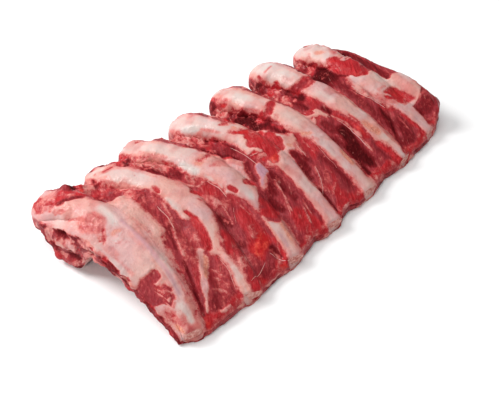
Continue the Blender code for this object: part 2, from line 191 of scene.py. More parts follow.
# Strokes, laid one over another: the tissue, how strongly it shows, half the width, how soft and how ragged
# the border is (all in mm), and the line it follows as rib numbers and alongs.
STROKES = (
    # rib 1, from the head forwards
    ("red", 0.85, 6.0, 2.5, 1.0, ((0.00, 0.110), (0.52, 0.040))),
    ("rosy", 0.8, 4.0, 2.5, 1.0, ((0.15, 0.135), (0.50, 0.105))),
    ("red", 0.8, 2.0, 1.5, 1.0, ((0.05, 0.170), (0.50, 0.130))),
    ("red", 0.6, 1.5, 1.3, 1.0, ((0.00, 0.210), (0.35, 0.170))),
    ("pink", 0.8, 2.0, 1.5, 1.0, ((0.10, 0.190), (0.45, 0.155))),
    ("red", 0.8, 7.0, 2.5, 0.8, ((0.80, 0.090), (1.00, 0.100))),
    ("rosy", 0.6, 4.0, 3.5, 0.8, ((0.82, 0.070), (1.00, 0.075))),
    ("pink", 0.6, 2.0, 1.5, 0.8, ((0.72, 0.065), (1.00, 0.060))),
    ("red", 0.8, 3.5, 2.0, 0.8, ((0.76, 0.135), (1.02, 0.140))),
    ("maroon", 0.9, 2.4, 1.4, 0.6, ((0.74, 0.152), (0.92, 0.168), (1.12, 0.198))),
    ("deep", 0.5, 2.0, 2.0, 0.6, ((0.90, 0.148), (1.00, 0.150))),
    ("maroon", 0.7, 2.0, 1.2, 0.8, ((1.08, 0.170), (1.16, 0.200))),
    ("red", 0.7, 2.0, 1.2, 0.8, ((1.12, 0.100), (1.18, 0.150))),
    ("fascia", 1.0, 6.0, 2.0, 1.0, ((0.80, 0.240), (0.95, 0.250))),
    ("pink", 0.6, 4.0, 2.5, 1.0, ((0.10, 0.270), (0.50, 0.230))),
    ("rosy", 1.0, 3.4, 1.5, 0.8, ((0.24, 0.208), (0.38, 0.202))),
    ("red", 0.5, 2.0, 2.0, 0.8, ((0.24, 0.208), (0.34, 0.204))),
    ("rosy", 0.8, 2.4, 1.5, 0.8, ((0.10, 0.290), (0.45, 0.315))),
    ("rosy", 1.0, 8.0, 2.0, 0.8, ((0.35, 0.360), (0.55, 0.385))),
    ("red", 0.5, 6.0, 4.0, 0.8, ((0.25, 0.390), (0.55, 0.385))),
    ("rosy", 1.0, 5.5, 2.0, 0.8, ((0.05, 0.390), (0.30, 0.420))),
    ("red", 0.75, 1.5, 1.3, 0.6, ((0.00, 0.515), (0.24, 0.480), (0.55, 0.432))),
    ("pink", 0.8, 2.0, 1.5, 0.8, ((0.62, 0.340), (0.80, 0.340))),
    ("red", 0.6, 1.5, 1.2, 0.8, ((0.00, 0.490), (0.12, 0.460))),
    ("pearl_and_sheen", 0.85, 2.2, 4.0, 0.8, ((1.06, 0.335), (1.02, 0.400), (0.93, 0.440))),
    ("fat", 0.65, 2.6, 1.5, 1.0, ((0.68, 0.475), (0.82, 0.485))),
    ("lilac", 0.6, 1.8, 1.5, 0.3, ((1.06, 0.450), (1.04, 0.600), (1.05, 0.750), (1.03, 0.850))),
    ("pink", 0.45, 2.0, 1.5, 0.6, ((1.17, 0.450), (1.18, 0.560), (1.16, 0.690))),
    ("lean", 1.0, 6.0, 1.2, 1.0, ((-0.10, 0.780), (0.10, 0.770), (0.55, 0.740))),
    ("lean", 1.0, 7.0, 1.2, 1.0, ((-0.10, 0.825), (0.50, 0.820))),
    ("lean", 1.0, 1.8, 1.0, 1.0, ((0.60, 0.745), (0.72, 0.750))),
    ("lean", 0.9, 2.4, 1.0, 1.0, ((0.60, 0.810), (0.85, 0.815))),
    ("lean", 0.9, 2.0, 1.0, 1.0, ((0.60, 0.850), (0.78, 0.850))),
    ("veiled", 0.5, 5.0, 3.0, 0.8, ((0.00, 0.760), (0.45, 0.790))),
    ("fascia", 0.8, 0.8, 0.6, 0.3, ((0.50, 0.755), (0.75, 0.768), (0.95, 0.792))),
    ("pink", 0.9, 0.9, 0.6, 0.3, ((0.40, 0.778), (0.62, 0.800), (0.80, 0.832))),
    ("fascia", 0.7, 0.7, 0.6, 0.3, ((0.20, 0.800), (0.45, 0.822), (0.66, 0.842))),
    ("pink", 0.9, 0.9, 0.7, 0.3, ((0.30, 0.848), (0.50, 0.862), (0.70, 0.872))),
    ("veiled", 0.9, 5.0, 2.0, 1.0, ((-0.05, 0.920), (0.45, 0.930))),
    ("red", 0.5, 2.0, 1.5, 1.0, ((0.00, 0.960), (0.40, 0.955))),
    ("pink", 0.7, 2.0, 1.5, 1.2, ((0.05, 0.885), (0.50, 0.892))),
    ("pink", 0.8, 2.0, 1.3, 1.0, ((0.20, 0.940), (0.55, 0.945))),
    ("fat", 0.9, 3.6, 1.8, 1.0, ((0.00, 0.980), (0.50, 0.985))),
    ("rosy", 0.5, 3.0, 2.0, 1.0, ((0.55, 0.930), (0.62, 0.985))),
    ("pearl_and_sheen", 0.5, 3.5, 2.0, 0.5, ((0.88, 0.900), (0.88, 0.965))),
    ("pink", 0.8, 3.0, 1.8, 1.0, ((0.62, 0.945), (0.68, 0.995))),
    ("rosy", 0.7, 2.2, 1.5, 1.0, ((0.72, 0.988), (1.08, 0.990))),
    ("rosy", 0.6, 1.5, 1.2, 1.0, ((1.08, 0.880), (1.09, 0.980))),
    ("pink", 0.7, 1.3, 1.2, 1.0, ((1.13, 0.720), (1.10, 0.850), (1.10, 0.970))),
    ("fat", 0.5, 1.5, 1.2, 1.0, ((1.08, 0.880), (1.12, 0.980))),
    ("pink", 0.6, 1.5, 1.5, 1.2, ((-0.12, 0.520), (-0.10, 0.600), (-0.10, 0.700))),
    ("fascia", 0.8, 0.7, 0.7, 0.6, ((0.50, 0.535), (0.72, 0.545))),
    ("pearl_and_sheen", 0.5, 0.8, 0.8, 0.6, ((0.42, 0.500), (0.62, 0.510), (0.86, 0.495))),
    ("rosy", 0.5, 0.7, 0.8, 0.6, ((0.45, 0.522), (0.70, 0.530))),
    ("rosy", 0.35, 3.0, 2.0, 1.0, ((1.25, 0.330), (1.40, 0.330))),
    # gap 1-2
    ("red", 0.6, 8.0, 2.5, 1.2, ((1.33, 0.210), (1.42, 0.260))),
    ("maroon", 0.6, 6.0, 2.5, 1.2, ((1.30, 0.270), (1.45, 0.275))),
    ("pink", 0.6, 1.8, 2.0, 1.5, ((1.58, 0.160), (1.59, 0.240), (1.61, 0.330))),
    ("pink", 0.8, 1.8, 1.3, 0.8, ((1.28, 0.190), (1.45, 0.150))),
    ("pink", 0.7, 1.8, 1.3, 0.8, ((1.36, 0.235), (1.52, 0.190))),
    ("red", 1.0, 3.0, 1.2, 0.8, ((1.20, 0.175), (1.32, 0.130), (1.50, 0.085))),
    ("glow", 0.6, 1.6, 1.2, 0.8, ((1.28, 0.155), (1.50, 0.090))),
    ("deep", 0.8, 1.6, 1.0, 0.5, ((1.27, 0.120), (1.38, 0.050))),
    ("pink", 0.9, 2.5, 1.5, 1.0, ((1.42, 0.130), (1.58, 0.110))),
    ("pink", 0.8, 1.5, 1.5, 1.0, ((1.48, 0.420), (1.42, 0.560), (1.30, 0.620))),
    ("veiled", 0.4, 5.0, 2.0, 0.5, ((1.62, 0.360), (1.60, 0.450), (1.53, 0.560))),
    ("maroon", 0.8, 2.6, 1.0, 0.4, ((1.50, 0.580), (1.38, 0.680))),
    ("red", 1.0, 2.0, 1.2, 0.5, ((1.83, 0.580), (1.85, 0.600))),
    ("red", 1.0, 4.2, 1.5, 0.8, ((1.84, 0.630), (1.81, 0.680), (1.73, 0.760))),
    ("glow", 0.4, 1.6, 1.4, 0.5, ((1.88, 0.610), (1.88, 0.660))),
    ("pearl_and_sheen", 0.5, 1.2, 1.6, 1.4, ((1.78, 0.480), (1.75, 0.530), (1.73, 0.610))),
    ("pink", 0.8, 0.9, 0.9, 0.6, ((1.70, 0.470), (1.62, 0.550), (1.50, 0.620), (1.38, 0.720))),
    ("pink", 0.8, 2.0, 1.5, 0.8, ((1.24, 0.660), (1.17, 0.800), (1.13, 0.970))),
    ("maroon", 1.0, 1.6, 1.2, 0.3, ((1.33, 0.740), (1.24, 0.850), (1.185, 0.970))),
    ("deep", 0.5, 0.7, 0.8, 0.3, ((1.30, 0.770), (1.24, 0.850), (1.19, 0.950))),
    ("maroon", 0.25, 6.0, 1.2, 0.6, ((1.62, 0.860), (1.52, 0.940))),
    ("veiled", 0.35, 5.0, 2.5, 0.8, ((1.60, 0.870), (1.54, 0.930))),
    ("maroon", 0.55, 3.0, 1.2, 0.5, ((1.45, 0.920), (1.36, 0.960))),
    ("pink", 0.7, 0.5, 0.6, 0.4, ((1.58, 0.840), (1.72, 0.884))),
    ("fascia", 0.6, 0.5, 0.6, 0.4, ((1.62, 0.862), (1.77, 0.915))),
    ("pink", 0.7, 0.5, 0.6, 0.4, ((1.56, 0.868), (1.74, 0.938))),
    ("pink", 0.6, 0.5, 0.6, 0.4, ((1.50, 0.896), (1.64, 0.948))),
    ("veiled", 0.6, 3.0, 1.5, 0.5, ((1.75, 0.860), (1.70, 0.950))),
    ("veiled", 0.7, 7.0, 3.0, 1.2, ((1.60, 0.680), (1.52, 0.760))),
    ("fascia", 1.0, 2.4, 1.0, 1.0, ((1.58, 0.760), (1.47, 0.830), (1.34, 0.900))),
    ("fat", 0.8, 2.2, 1.0, 1.0, ((1.60, 0.790), (1.50, 0.840))),
    ("fascia", 1.0, 1.0, 0.8, 0.4, ((1.34, 0.900), (1.24, 0.965))),
    ("red", 0.9, 1.5, 1.0, 1.0, ((1.20, 0.990), (1.50, 0.985), (1.80, 0.985))),
    ("fascia", 0.7, 0.8, 0.6, 1.0, ((1.45, 0.975), (1.60, 0.985))),
    # rib 2
    ("pink", 0.6, 2.0, 1.5, 0.8, ((1.66, 0.260), (1.68, 0.340))),
    ("pink", 0.4, 3.0, 1.5, 1.0, ((1.75, 0.110), (1.80, 0.120))),
    ("rosy", 0.9, 2.4, 2.0, 1.0, ((1.86, 0.135), (1.98, 0.140))),
    ("maroon", 0.8, 1.4, 1.5, 0.8, ((1.86, 0.130), (1.99, 0.138))),
    ("red", 1.0, 2.4, 0.9, 0.6, ((1.85, 0.395), (1.82, 0.420))),
    ("lilac", 0.2, 3.0, 3.0, 0.5, ((2.00, 0.500), (1.98, 0.650))),
    ("pink", 0.8, 2.5, 1.5, 1.0, ((1.98, 0.740), (2.02, 0.790))),
    ("red", 0.7, 2.0, 1.5, 0.8, ((2.03, 0.790), (1.98, 0.840))),
    # gap 2-3
    ("glow", 0.7, 3.0, 2.0, 1.0, ((2.25, 0.125), (2.55, 0.080))),
    ("red", 0.8, 2.5, 1.5, 1.0, ((2.20, 0.150), (2.50, 0.100))),
    ("deep", 0.8, 2.0, 1.5, 0.8, ((2.15, 0.180), (2.45, 0.130))),
    ("pink", 0.9, 7.0, 2.5, 1.5, ((2.38, 0.200), (2.52, 0.250))),
    ("rosy", 0.7, 5.0, 2.5, 1.5, ((2.36, 0.260), (2.50, 0.270))),
    ("fat", 0.4, 3.0, 2.0, 1.0, ((2.45, 0.220), (2.55, 0.280))),
    ("pink", 0.7, 4.0, 2.0, 1.0, ((2.30, 0.300), (2.42, 0.320))),
    ("maroon", 0.9, 7.0, 2.5, 1.0, ((2.38, 0.375), (2.42, 0.410))),
    ("deep", 0.6, 2.0, 1.6, 1.0, ((2.15, 0.270), (2.20, 0.330))),
    ("veiled", 0.8, 4.0, 2.0, 0.6, ((2.45, 0.440), (2.50, 0.490))),
    ("fascia", 0.5, 0.7, 0.8, 0.5, ((2.35, 0.460), (2.50, 0.420))),
    ("pink", 0.9, 0.9, 0.8, 0.5, ((2.28, 0.485), (2.40, 0.510), (2.55, 0.505))),
    ("red", 1.0, 2.2, 1.0, 0.7, ((2.20, 0.520), (2.27, 0.550))),
    ("red", 0.5, 3.0, 2.0, 0.8, ((2.50, 0.530), (2.55, 0.600))),
    ("veiled", 0.9, 5.0, 2.5, 1.0, ((2.33, 0.600), (2.52, 0.650))),
    ("pink", 0.5, 2.0, 2.0, 1.0, ((2.30, 0.640), (2.42, 0.610))),
    ("maroon", 0.9, 4.5, 3.0, 1.0, ((2.22, 0.700), (2.30, 0.740))),
    ("lilac", 0.25, 2.0, 2.0, 1.0, ((2.24, 0.700), (2.30, 0.720))),
    ("maroon", 0.95, 3.6, 2.5, 1.0, ((2.15, 0.808), (2.32, 0.850))),
    ("red", 0.8, 3.5, 1.8, 1.0, ((2.08, 0.750), (2.14, 0.800))),
    ("red", 0.8, 7.0, 3.0, 0.8, ((2.62, 0.740), (2.62, 0.860))),
    ("pink", 0.8, 0.8, 0.6, 0.3, ((2.46, 0.610), (2.42, 0.680), (2.36, 0.740))),
    ("pink", 0.7, 0.7, 0.6, 0.3, ((2.68, 0.680), (2.72, 0.760))),
    ("glow", 1.0, 6.5, 3.0, 0.8, ((2.46, 0.885), (2.56, 0.855), (2.62, 0.880))),
    ("veiled", 0.5, 3.0, 2.5, 0.8, ((2.45, 0.840), (2.55, 0.830))),
    ("veiled", 0.9, 5.0, 2.5, 0.8, ((2.08, 0.890), (2.28, 0.910))),
    ("maroon", 0.7, 4.0, 2.0, 0.6, ((2.35, 0.980), (2.55, 0.970))),
    ("deep", 0.6, 3.0, 1.5, 0.6, ((2.72, 0.925), (2.76, 0.960))),
    ("lilac", 0.5, 1.5, 1.5, 0.5, ((2.68, 0.930), (2.72, 0.960))),
    ("red", 0.8, 1.6, 1.0, 0.8, ((2.84, 0.900), (2.85, 0.970))),
    # rib 3
    ("pink", 0.8, 1.5, 1.2, 1.0, ((2.66, 0.160), (2.68, 0.280))),
    ("red", 0.7, 1.5, 1.2, 0.8, ((3.05, 0.070), (3.15, 0.100))),
    ("red", 0.6, 1.5, 1.2, 0.8, ((2.55, 0.290), (2.60, 0.330))),
    ("pearl_and_sheen", 0.9, 3.4, 3.0, 0.7, ((2.64, 0.375), (2.66, 0.440))),
    ("pearl_and_sheen", 0.55, 1.3, 1.6, 1.4, ((2.68, 0.500), (2.70, 0.560), (2.67, 0.620))),
    ("pearl_and_sheen", 0.7, 3.0, 2.5, 0.5, ((3.00, 0.650), (3.00, 0.700))),
    ("fat", 0.8, 3.0, 3.0, 1.6, ((2.88, 0.420), (3.05, 0.400), (3.15, 0.420))),
    ("glow", 0.8, 2.0, 2.2, 1.6, ((2.95, 0.405), (3.14, 0.418))),
    ("rosy", 0.8, 2.4, 2.5, 1.2, ((3.02, 0.475), (3.16, 0.485))),
    ("red", 0.4, 1.6, 2.0, 1.2, ((3.05, 0.478), (3.14, 0.484))),
    ("pink", 0.8, 2.0, 1.5, 1.0, ((2.95, 0.470), (3.10, 0.500))),
    ("lilac", 0.3, 4.0, 4.0, 0.5, ((3.02, 0.560), (3.00, 0.660))),
    ("red", 0.9, 2.4, 1.0, 0.6, ((2.80, 0.612), (2.84, 0.638))),
    ("red", 0.9, 2.6, 1.0, 0.6, ((3.14, 0.630), (3.20, 0.655))),
    ("rosy", 0.9, 3.5, 2.0, 1.0, ((3.34, 0.500), (3.42, 0.545))),
    ("fat", 0.5, 2.5, 1.8, 1.2, ((3.30, 0.480), (3.38, 0.520))),
    ("pink", 0.7, 3.0, 2.0, 1.2, ((3.28, 0.570), (3.30, 0.620))),
    ("red", 0.9, 5.0, 1.5, 0.8, ((3.00, 0.790), (3.15, 0.810))),
    ("red", 0.8, 3.0, 1.2, 0.8, ((3.10, 0.740), (3.15, 0.780))),
    ("fat", 0.8, 2.0, 1.5, 1.2, ((3.14, 0.870), (3.12, 0.940))),
    ("pink", 0.8, 1.6, 1.5, 1.2, ((3.18, 0.850), (3.17, 0.980))),
    ("fat", 0.6, 1.0, 1.0, 0.8, ((2.90, 0.800), (2.90, 0.950))),
    ("lilac", 0.6, 2.0, 2.0, 0.4, ((2.99, 0.900), (2.99, 0.950))),
    # gap 3-4
    ("pink", 0.8, 4.0, 2.0, 1.2, ((3.30, 0.160), (3.50, 0.130))),
    ("veiled", 0.7, 4.0, 2.0, 1.2, ((3.30, 0.200), (3.45, 0.170))),
    ("pink", 0.7, 1.5, 1.3, 1.2, ((3.22, 0.220), (3.50, 0.160))),
    ("fat", 0.35, 4.0, 2.0, 1.5, ((3.30, 0.250), (3.45, 0.220))),
    ("fascia", 0.9, 0.8, 0.7, 0.6, ((3.20, 0.280), (3.35, 0.260), (3.50, 0.210))),
    ("maroon", 0.5, 5.0, 2.0, 1.0, ((3.30, 0.320), (3.42, 0.280))),
    ("pink", 0.6, 1.5, 1.5, 1.2, ((3.28, 0.310), (3.48, 0.260))),
    ("deep", 0.5, 2.0, 2.0, 0.8, ((3.18, 0.300), (3.24, 0.360))),
    ("pink", 0.8, 3.0, 2.0, 1.2, ((3.42, 0.310), (3.58, 0.265))),
    ("red", 0.5, 3.0, 2.0, 1.0, ((3.35, 0.370), (3.55, 0.340))),
    ("maroon", 0.8, 4.0, 2.0, 1.0, ((3.45, 0.420), (3.58, 0.460))),
    ("deep", 0.85, 1.8, 1.5, 0.6, ((3.22, 0.370), (3.38, 0.440), (3.50, 0.500))),
    ("deep", 0.6, 1.5, 1.0, 0.5, ((3.60, 0.350), (3.62, 0.450))),
    ("red", 0.8, 1.5, 1.0, 0.8, ((3.30, 0.460), (3.42, 0.480))),
    ("maroon", 0.9, 3.0, 1.2, 0.6, ((3.32, 0.640), (3.40, 0.580), (3.50, 0.550))),
    ("maroon", 1.0, 7.0, 2.5, 0.8, ((3.45, 0.720), (3.60, 0.720))),
    ("maroon", 0.8, 5.0, 3.0, 0.6, ((3.30, 0.730), (3.32, 0.800))),
    ("deep", 0.6, 3.0, 2.5, 0.8, ((3.25, 0.760), (3.30, 0.810))),
    ("maroon", 1.0, 3.0, 2.5, 0.6, ((3.66, 0.670), (3.68, 0.820))),
    ("lilac", 1.0, 3.6, 1.2, 0.4, ((3.59, 0.605), (3.54, 0.635))),
    ("lilac", 0.9, 2.4, 1.4, 0.4, ((3.48, 0.655), (3.36, 0.685))),
    ("pink", 0.7, 1.4, 1.0, 0.8, ((3.28, 0.700), (3.40, 0.690), (3.52, 0.665))),
    ("lilac", 0.9, 1.5, 0.8, 0.3, ((3.62, 0.620), (3.63, 0.650))),
    ("veiled", 0.5, 1.5, 1.5, 0.5, ((3.60, 0.700), (3.45, 0.820))),
    ("red", 0.8, 7.0, 3.0, 0.8, ((3.50, 0.880), (3.60, 0.930))),
    ("maroon", 0.5, 3.0, 2.0, 0.6, ((3.25, 0.860), (3.25, 0.970))),
    ("glow", 0.5, 3.0, 2.5, 1.0, ((3.65, 0.910), (3.70, 0.960))),
    ("pink", 0.9, 0.8, 0.6, 0.3, ((3.62, 0.700), (3.55, 0.780), (3.46, 0.850))),
    ("pink", 0.9, 0.9, 0.7, 0.4, ((3.66, 0.880), (3.60, 0.960))),
    ("pink", 0.8, 0.7, 0.6, 0.4, ((3.74, 0.850), (3.70, 0.930))),
    ("maroon", 0.6, 2.0, 1.5, 0.6, ((3.80, 0.700), (3.80, 0.960))),
    # rib 4
    ("pearl_and_sheen", 1.0, 4.2, 2.5, 0.7, ((3.62, 0.190), (3.66, 0.220))),
    ("pink", 0.8, 2.0, 1.5, 1.0, ((3.70, 0.260), (3.75, 0.330))),
    ("red", 0.7, 2.0, 1.2, 0.8, ((3.95, 0.300), (4.02, 0.320))),
    ("fat", 0.8, 2.5, 1.5, 1.0, ((3.90, 0.390), (4.00, 0.370))),
    ("red", 0.9, 3.0, 1.2, 0.5, ((4.00, 0.415), (4.12, 0.430))),
    ("red", 1.0, 4.5, 1.3, 0.5, ((3.98, 0.458), (4.24, 0.465))),
    ("red", 1.0, 5.5, 1.3, 0.5, ((3.88, 0.502), (4.34, 0.512))),
    ("red", 1.0, 5.5, 1.3, 0.5, ((3.78, 0.550), (4.34, 0.552))),
    ("red", 1.0, 4.5, 1.3, 0.6, ((3.78, 0.592), (4.24, 0.590))),
    ("glow", 0.9, 3.0, 1.5, 1.0, ((3.86, 0.630), (4.02, 0.620))),
    ("glow", 0.9, 2.6, 2.0, 1.0, ((3.89, 0.375), (3.97, 0.400), (4.10, 0.425))),
    ("pink", 0.6, 1.8, 1.8, 1.0, ((3.98, 0.380), (4.12, 0.400))),
    ("glow", 0.3, 4.0, 3.0, 1.0, ((4.00, 0.470), (4.10, 0.500))),
    ("fascia", 0.9, 1.6, 0.9, 1.0, ((3.68, 0.520), (3.80, 0.526), (3.86, 0.556))),
    ("rosy", 0.9, 1.8, 1.0, 0.8, ((3.72, 0.570), (3.85, 0.580))),
    ("pink", 0.9, 1.8, 1.0, 0.8, ((3.72, 0.630), (3.80, 0.650))),
    ("fascia", 1.0, 1.8, 1.0, 0.6, ((4.47, 0.475), (4.55, 0.520), (4.63, 0.580))),
    ("fat", 0.6, 2.0, 1.5, 1.2, ((4.42, 0.605), (4.56, 0.622))),
    ("rosy", 0.4, 3.0, 2.0, 1.0, ((3.98, 0.700), (4.00, 0.760))),
    ("lilac", 0.35, 3.0, 3.0, 0.5, ((4.00, 0.800), (4.00, 0.950))),
    # gap 4-5
    ("red", 0.9, 2.5, 1.5, 1.0, ((4.05, 0.300), (4.12, 0.270), (4.25, 0.260))),
    ("fat", 0.4, 3.0, 2.0, 1.5, ((4.25, 0.220), (4.50, 0.150))),
    ("fat", 0.6, 2.5, 1.8, 1.2, ((4.50, 0.250), (4.57, 0.200))),
    ("pink", 0.9, 2.0, 1.3, 0.8, ((4.54, 0.620), (4.50, 0.700))),
    ("pink", 0.7, 2.2, 2.0, 0.8, ((4.46, 0.760), (4.34, 0.830), (4.22, 0.870))),
    ("pink", 0.7, 4.0, 2.0, 1.5, ((4.35, 0.240), (4.55, 0.200))),
    ("maroon", 0.8, 2.0, 2.0, 1.0, ((4.35, 0.170), (4.55, 0.110))),
    ("pink", 0.7, 1.6, 1.5, 1.2, ((4.20, 0.260), (4.50, 0.180))),
    ("deep", 0.95, 6.5, 2.5, 1.0, ((4.36, 0.325), (4.42, 0.400))),
    ("deep", 0.9, 4.0, 2.0, 0.8, ((4.45, 0.400), (4.50, 0.440))),
    ("red", 0.8, 2.5, 1.5, 1.0, ((4.10, 0.290), (4.18, 0.260), (4.26, 0.290))),
    ("maroon", 0.8, 4.0, 2.0, 1.0, ((4.50, 0.480), (4.60, 0.520))),
    ("deep", 0.7, 2.5, 1.5, 0.8, ((4.58, 0.450), (4.62, 0.560))),
    ("red", 0.7, 1.2, 1.0, 1.0, ((4.60, 0.470), (4.64, 0.520))),
    ("maroon", 1.0, 4.5, 1.8, 0.8, ((4.35, 0.660), (4.42, 0.700))),
    ("maroon", 0.9, 4.0, 2.0, 0.8, ((4.25, 0.760), (4.32, 0.720))),
    ("deep", 0.45, 4.0, 2.5, 0.7, ((4.34, 0.670), (4.29, 0.750))),
    ("deep", 0.6, 2.0, 2.0, 0.6, ((4.22, 0.720), (4.20, 0.800))),
    ("maroon", 0.8, 2.6, 2.0, 0.8, ((4.26, 0.750), (4.20, 0.800))),
    ("red", 0.6, 4.0, 2.0, 1.0, ((4.65, 0.660), (4.68, 0.720))),
    ("red", 0.6, 5.0, 3.0, 0.8, ((4.40, 0.880), (4.50, 0.940))),
    ("maroon", 0.85, 3.6, 2.5, 0.6, ((4.73, 0.760), (4.76, 0.940))),
    ("pink", 0.6, 0.5, 0.6, 0.5, ((4.70, 0.640), (4.66, 0.740))),
    ("pink", 0.5, 1.2, 1.3, 0.8, ((4.36, 0.908), (4.48, 0.888))),
    ("pink", 0.5, 0.5, 0.6, 0.5, ((4.62, 0.800), (4.60, 0.900))),
    ("deep", 0.7, 1.3, 1.2, 0.5, ((4.17, 0.860), (4.18, 0.980))),
    ("red", 0.9, 1.5, 1.0, 1.0, ((4.25, 0.985), (4.60, 0.980))),
    ("fascia", 0.7, 0.8, 0.7, 0.8, ((4.30, 0.985), (4.55, 0.975))),
    # rib 5
    ("red", 0.9, 2.0, 1.2, 1.0, ((4.55, 0.120), (4.68, 0.080))),
    ("deep", 0.7, 1.5, 1.0, 0.8, ((4.50, 0.140), (4.62, 0.090))),
    ("glow", 0.8, 2.5, 1.5, 1.0, ((4.58, 0.180), (4.68, 0.150))),
    ("rosy", 0.6, 3.0, 2.0, 1.0, ((4.66, 0.130), (4.70, 0.180))),
    ("pearl_and_sheen", 0.5, 4.0, 3.0, 0.8, ((4.85, 0.200), (4.88, 0.260))),
    ("pink", 0.8, 2.0, 1.5, 1.0, ((4.62, 0.300), (4.66, 0.360))),
    ("pink", 0.7, 2.0, 1.2, 1.0, ((4.70, 0.380), (4.85, 0.370))),
    ("red", 1.0, 3.6, 1.4, 1.1, ((4.52, 0.415), (4.78, 0.400), (5.02, 0.370))),
    ("maroon", 0.45, 3.0, 2.0, 1.2, ((4.60, 0.410), (4.80, 0.400), (5.00, 0.375))),
    ("pink", 0.5, 1.0, 1.2, 1.2, ((4.75, 0.380), (4.95, 0.362))),
    ("maroon", 0.8, 1.6, 1.2, 0.6, ((4.60, 0.430), (4.68, 0.430))),
    ("pink", 0.7, 2.0, 1.5, 1.0, ((4.75, 0.460), (4.80, 0.450))),
    ("pearl_and_sheen", 0.4, 4.0, 4.0, 0.5, ((4.95, 0.480), (4.95, 0.560))),
    ("fascia", 0.9, 1.6, 0.9, 0.8, ((5.22, 0.550), (5.35, 0.555), (5.48, 0.555))),
    ("fascia", 0.8, 1.5, 1.0, 0.8, ((5.22, 0.600), (5.32, 0.580))),
    ("fat", 0.7, 2.5, 1.5, 1.2, ((4.82, 0.610), (4.95, 0.630))),
    ("pink", 0.7, 1.5, 1.2, 1.0, ((4.90, 0.660), (4.93, 0.680))),
    ("lilac", 0.35, 2.4, 3.0, 0.4, ((4.99, 0.740), (4.99, 0.900))),
    ("pearl_and_sheen", 0.35, 1.6, 2.0, 0.6, ((4.93, 0.700), (4.92, 0.860))),
    ("glow", 0.4, 2.6, 1.5, 1.0, ((5.15, 0.790), (5.12, 0.830))),
    ("fat", 0.9, 2.4, 1.5, 1.0, ((5.12, 0.800), (5.10, 0.862))),
    # gap 5-6
    ("maroon", 0.9, 5.0, 2.5, 1.5, ((5.20, 0.260), (5.40, 0.220))),
    ("pink", 0.6, 2.0, 1.5, 1.5, ((5.15, 0.240), (5.35, 0.200))),
    ("deep", 0.7, 2.0, 1.5, 1.0, ((5.30, 0.220), (5.50, 0.170))),
    ("red", 0.9, 3.0, 1.5, 1.0, ((5.35, 0.290), (5.48, 0.270))),
    ("pink", 0.9, 1.2, 1.0, 1.0, ((5.50, 0.290), (5.40, 0.330), (5.22, 0.360))),
    ("rosy", 0.5, 4.0, 2.0, 1.0, ((5.25, 0.390), (5.40, 0.380))),
    ("fat", 0.5, 2.0, 1.5, 1.0, ((5.25, 0.420), (5.35, 0.420))),
    ("deep", 0.95, 3.5, 1.8, 0.8, ((5.55, 0.360), (5.60, 0.440))),
    ("deep", 0.8, 3.0, 2.0, 0.8, ((5.40, 0.440), (5.45, 0.490))),
    ("maroon", 0.8, 4.0, 2.0, 1.0, ((5.35, 0.470), (5.40, 0.500))),
    ("red", 0.8, 2.5, 1.5, 1.0, ((5.28, 0.530), (5.45, 0.525))),
    ("red", 0.7, 1.3, 1.2, 0.8, ((5.64, 0.460), (5.66, 0.520))),
    ("fascia", 0.9, 2.0, 1.2, 0.8, ((5.52, 0.540), (5.56, 0.600))),
    ("deep", 0.7, 2.2, 1.2, 0.6, ((5.64, 0.560), (5.66, 0.600))),
    ("maroon", 0.9, 6.0, 2.0, 0.6, ((5.40, 0.630), (5.42, 0.680))),
    ("maroon", 0.8, 4.0, 2.0, 0.6, ((5.26, 0.720), (5.28, 0.780))),
    ("deep", 0.95, 6.5, 2.5, 0.8, ((5.52, 0.720), (5.46, 0.800))),
    ("deep", 0.95, 7.5, 3.0, 0.8, ((5.40, 0.820), (5.42, 0.893))),
    ("deep", 0.85, 3.0, 1.8, 0.5, ((5.30, 0.800), (5.20, 0.955))),
    ("red", 0.9, 2.5, 1.5, 0.8, ((5.68, 0.660), (5.76, 0.720), (5.74, 0.820))),
    ("glow", 0.6, 1.5, 1.2, 0.8, ((5.76, 0.760), (5.74, 0.800))),
    ("red", 0.9, 3.0, 1.5, 0.8, ((5.80, 0.880), (5.83, 0.970))),
    ("maroon", 0.6, 2.0, 1.5, 0.8, ((5.70, 0.900), (5.72, 0.960))),
    ("pink", 0.8, 1.0, 0.8, 0.6, ((5.62, 0.620), (5.67, 0.700), (5.65, 0.800), (5.61, 0.880))),
    ("red", 0.9, 1.6, 1.2, 1.2, ((5.20, 0.975), (5.45, 0.965), (5.65, 0.970))),
    ("pink", 0.45, 0.6, 0.8, 1.0, ((5.30, 0.965), (5.48, 0.955), (5.62, 0.935))),
    # rib 6
    ("pearl_and_sheen", 0.7, 4.0, 3.0, 0.8, ((5.80, 0.120), (5.95, 0.130))),
    ("rosy", 0.7, 1.1, 1.2, 0.9, ((5.75, 0.150), (5.93, 0.142))),
    ("red", 0.9, 1.6, 1.2, 0.9, ((5.56, 0.200), (5.62, 0.140))),
    ("red", 0.9, 1.8, 1.3, 1.0, ((5.55, 0.300), (5.63, 0.260))),
    ("pearl_and_sheen", 0.5, 4.0, 3.0, 0.8, ((5.85, 0.230), (5.90, 0.280))),
    ("maroon", 0.7, 1.5, 1.2, 0.8, ((6.05, 0.080), (6.12, 0.120))),
    ("red", 1.0, 6.0, 2.4, 1.8, ((5.66, 0.384), (6.04, 0.378))),
    ("maroon", 0.6, 5.0, 3.0, 1.4, ((5.65, 0.370), (6.00, 0.385))),
    ("veiled", 0.6, 2.0, 2.0, 1.4, ((5.80, 0.400), (6.02, 0.395))),
    ("pearl_and_sheen", 0.5, 2.5, 4.5, 0.8, ((5.88, 0.480), (5.91, 0.550))),
    ("pink", 0.7, 2.0, 1.5, 1.0, ((6.15, 0.540), (6.20, 0.600))),
    ("lilac", 0.3, 3.0, 3.0, 0.4, ((6.02, 0.620), (6.08, 0.720))),
    ("red", 0.8, 1.5, 1.2, 0.8, ((5.86, 0.680), (5.88, 0.730))),
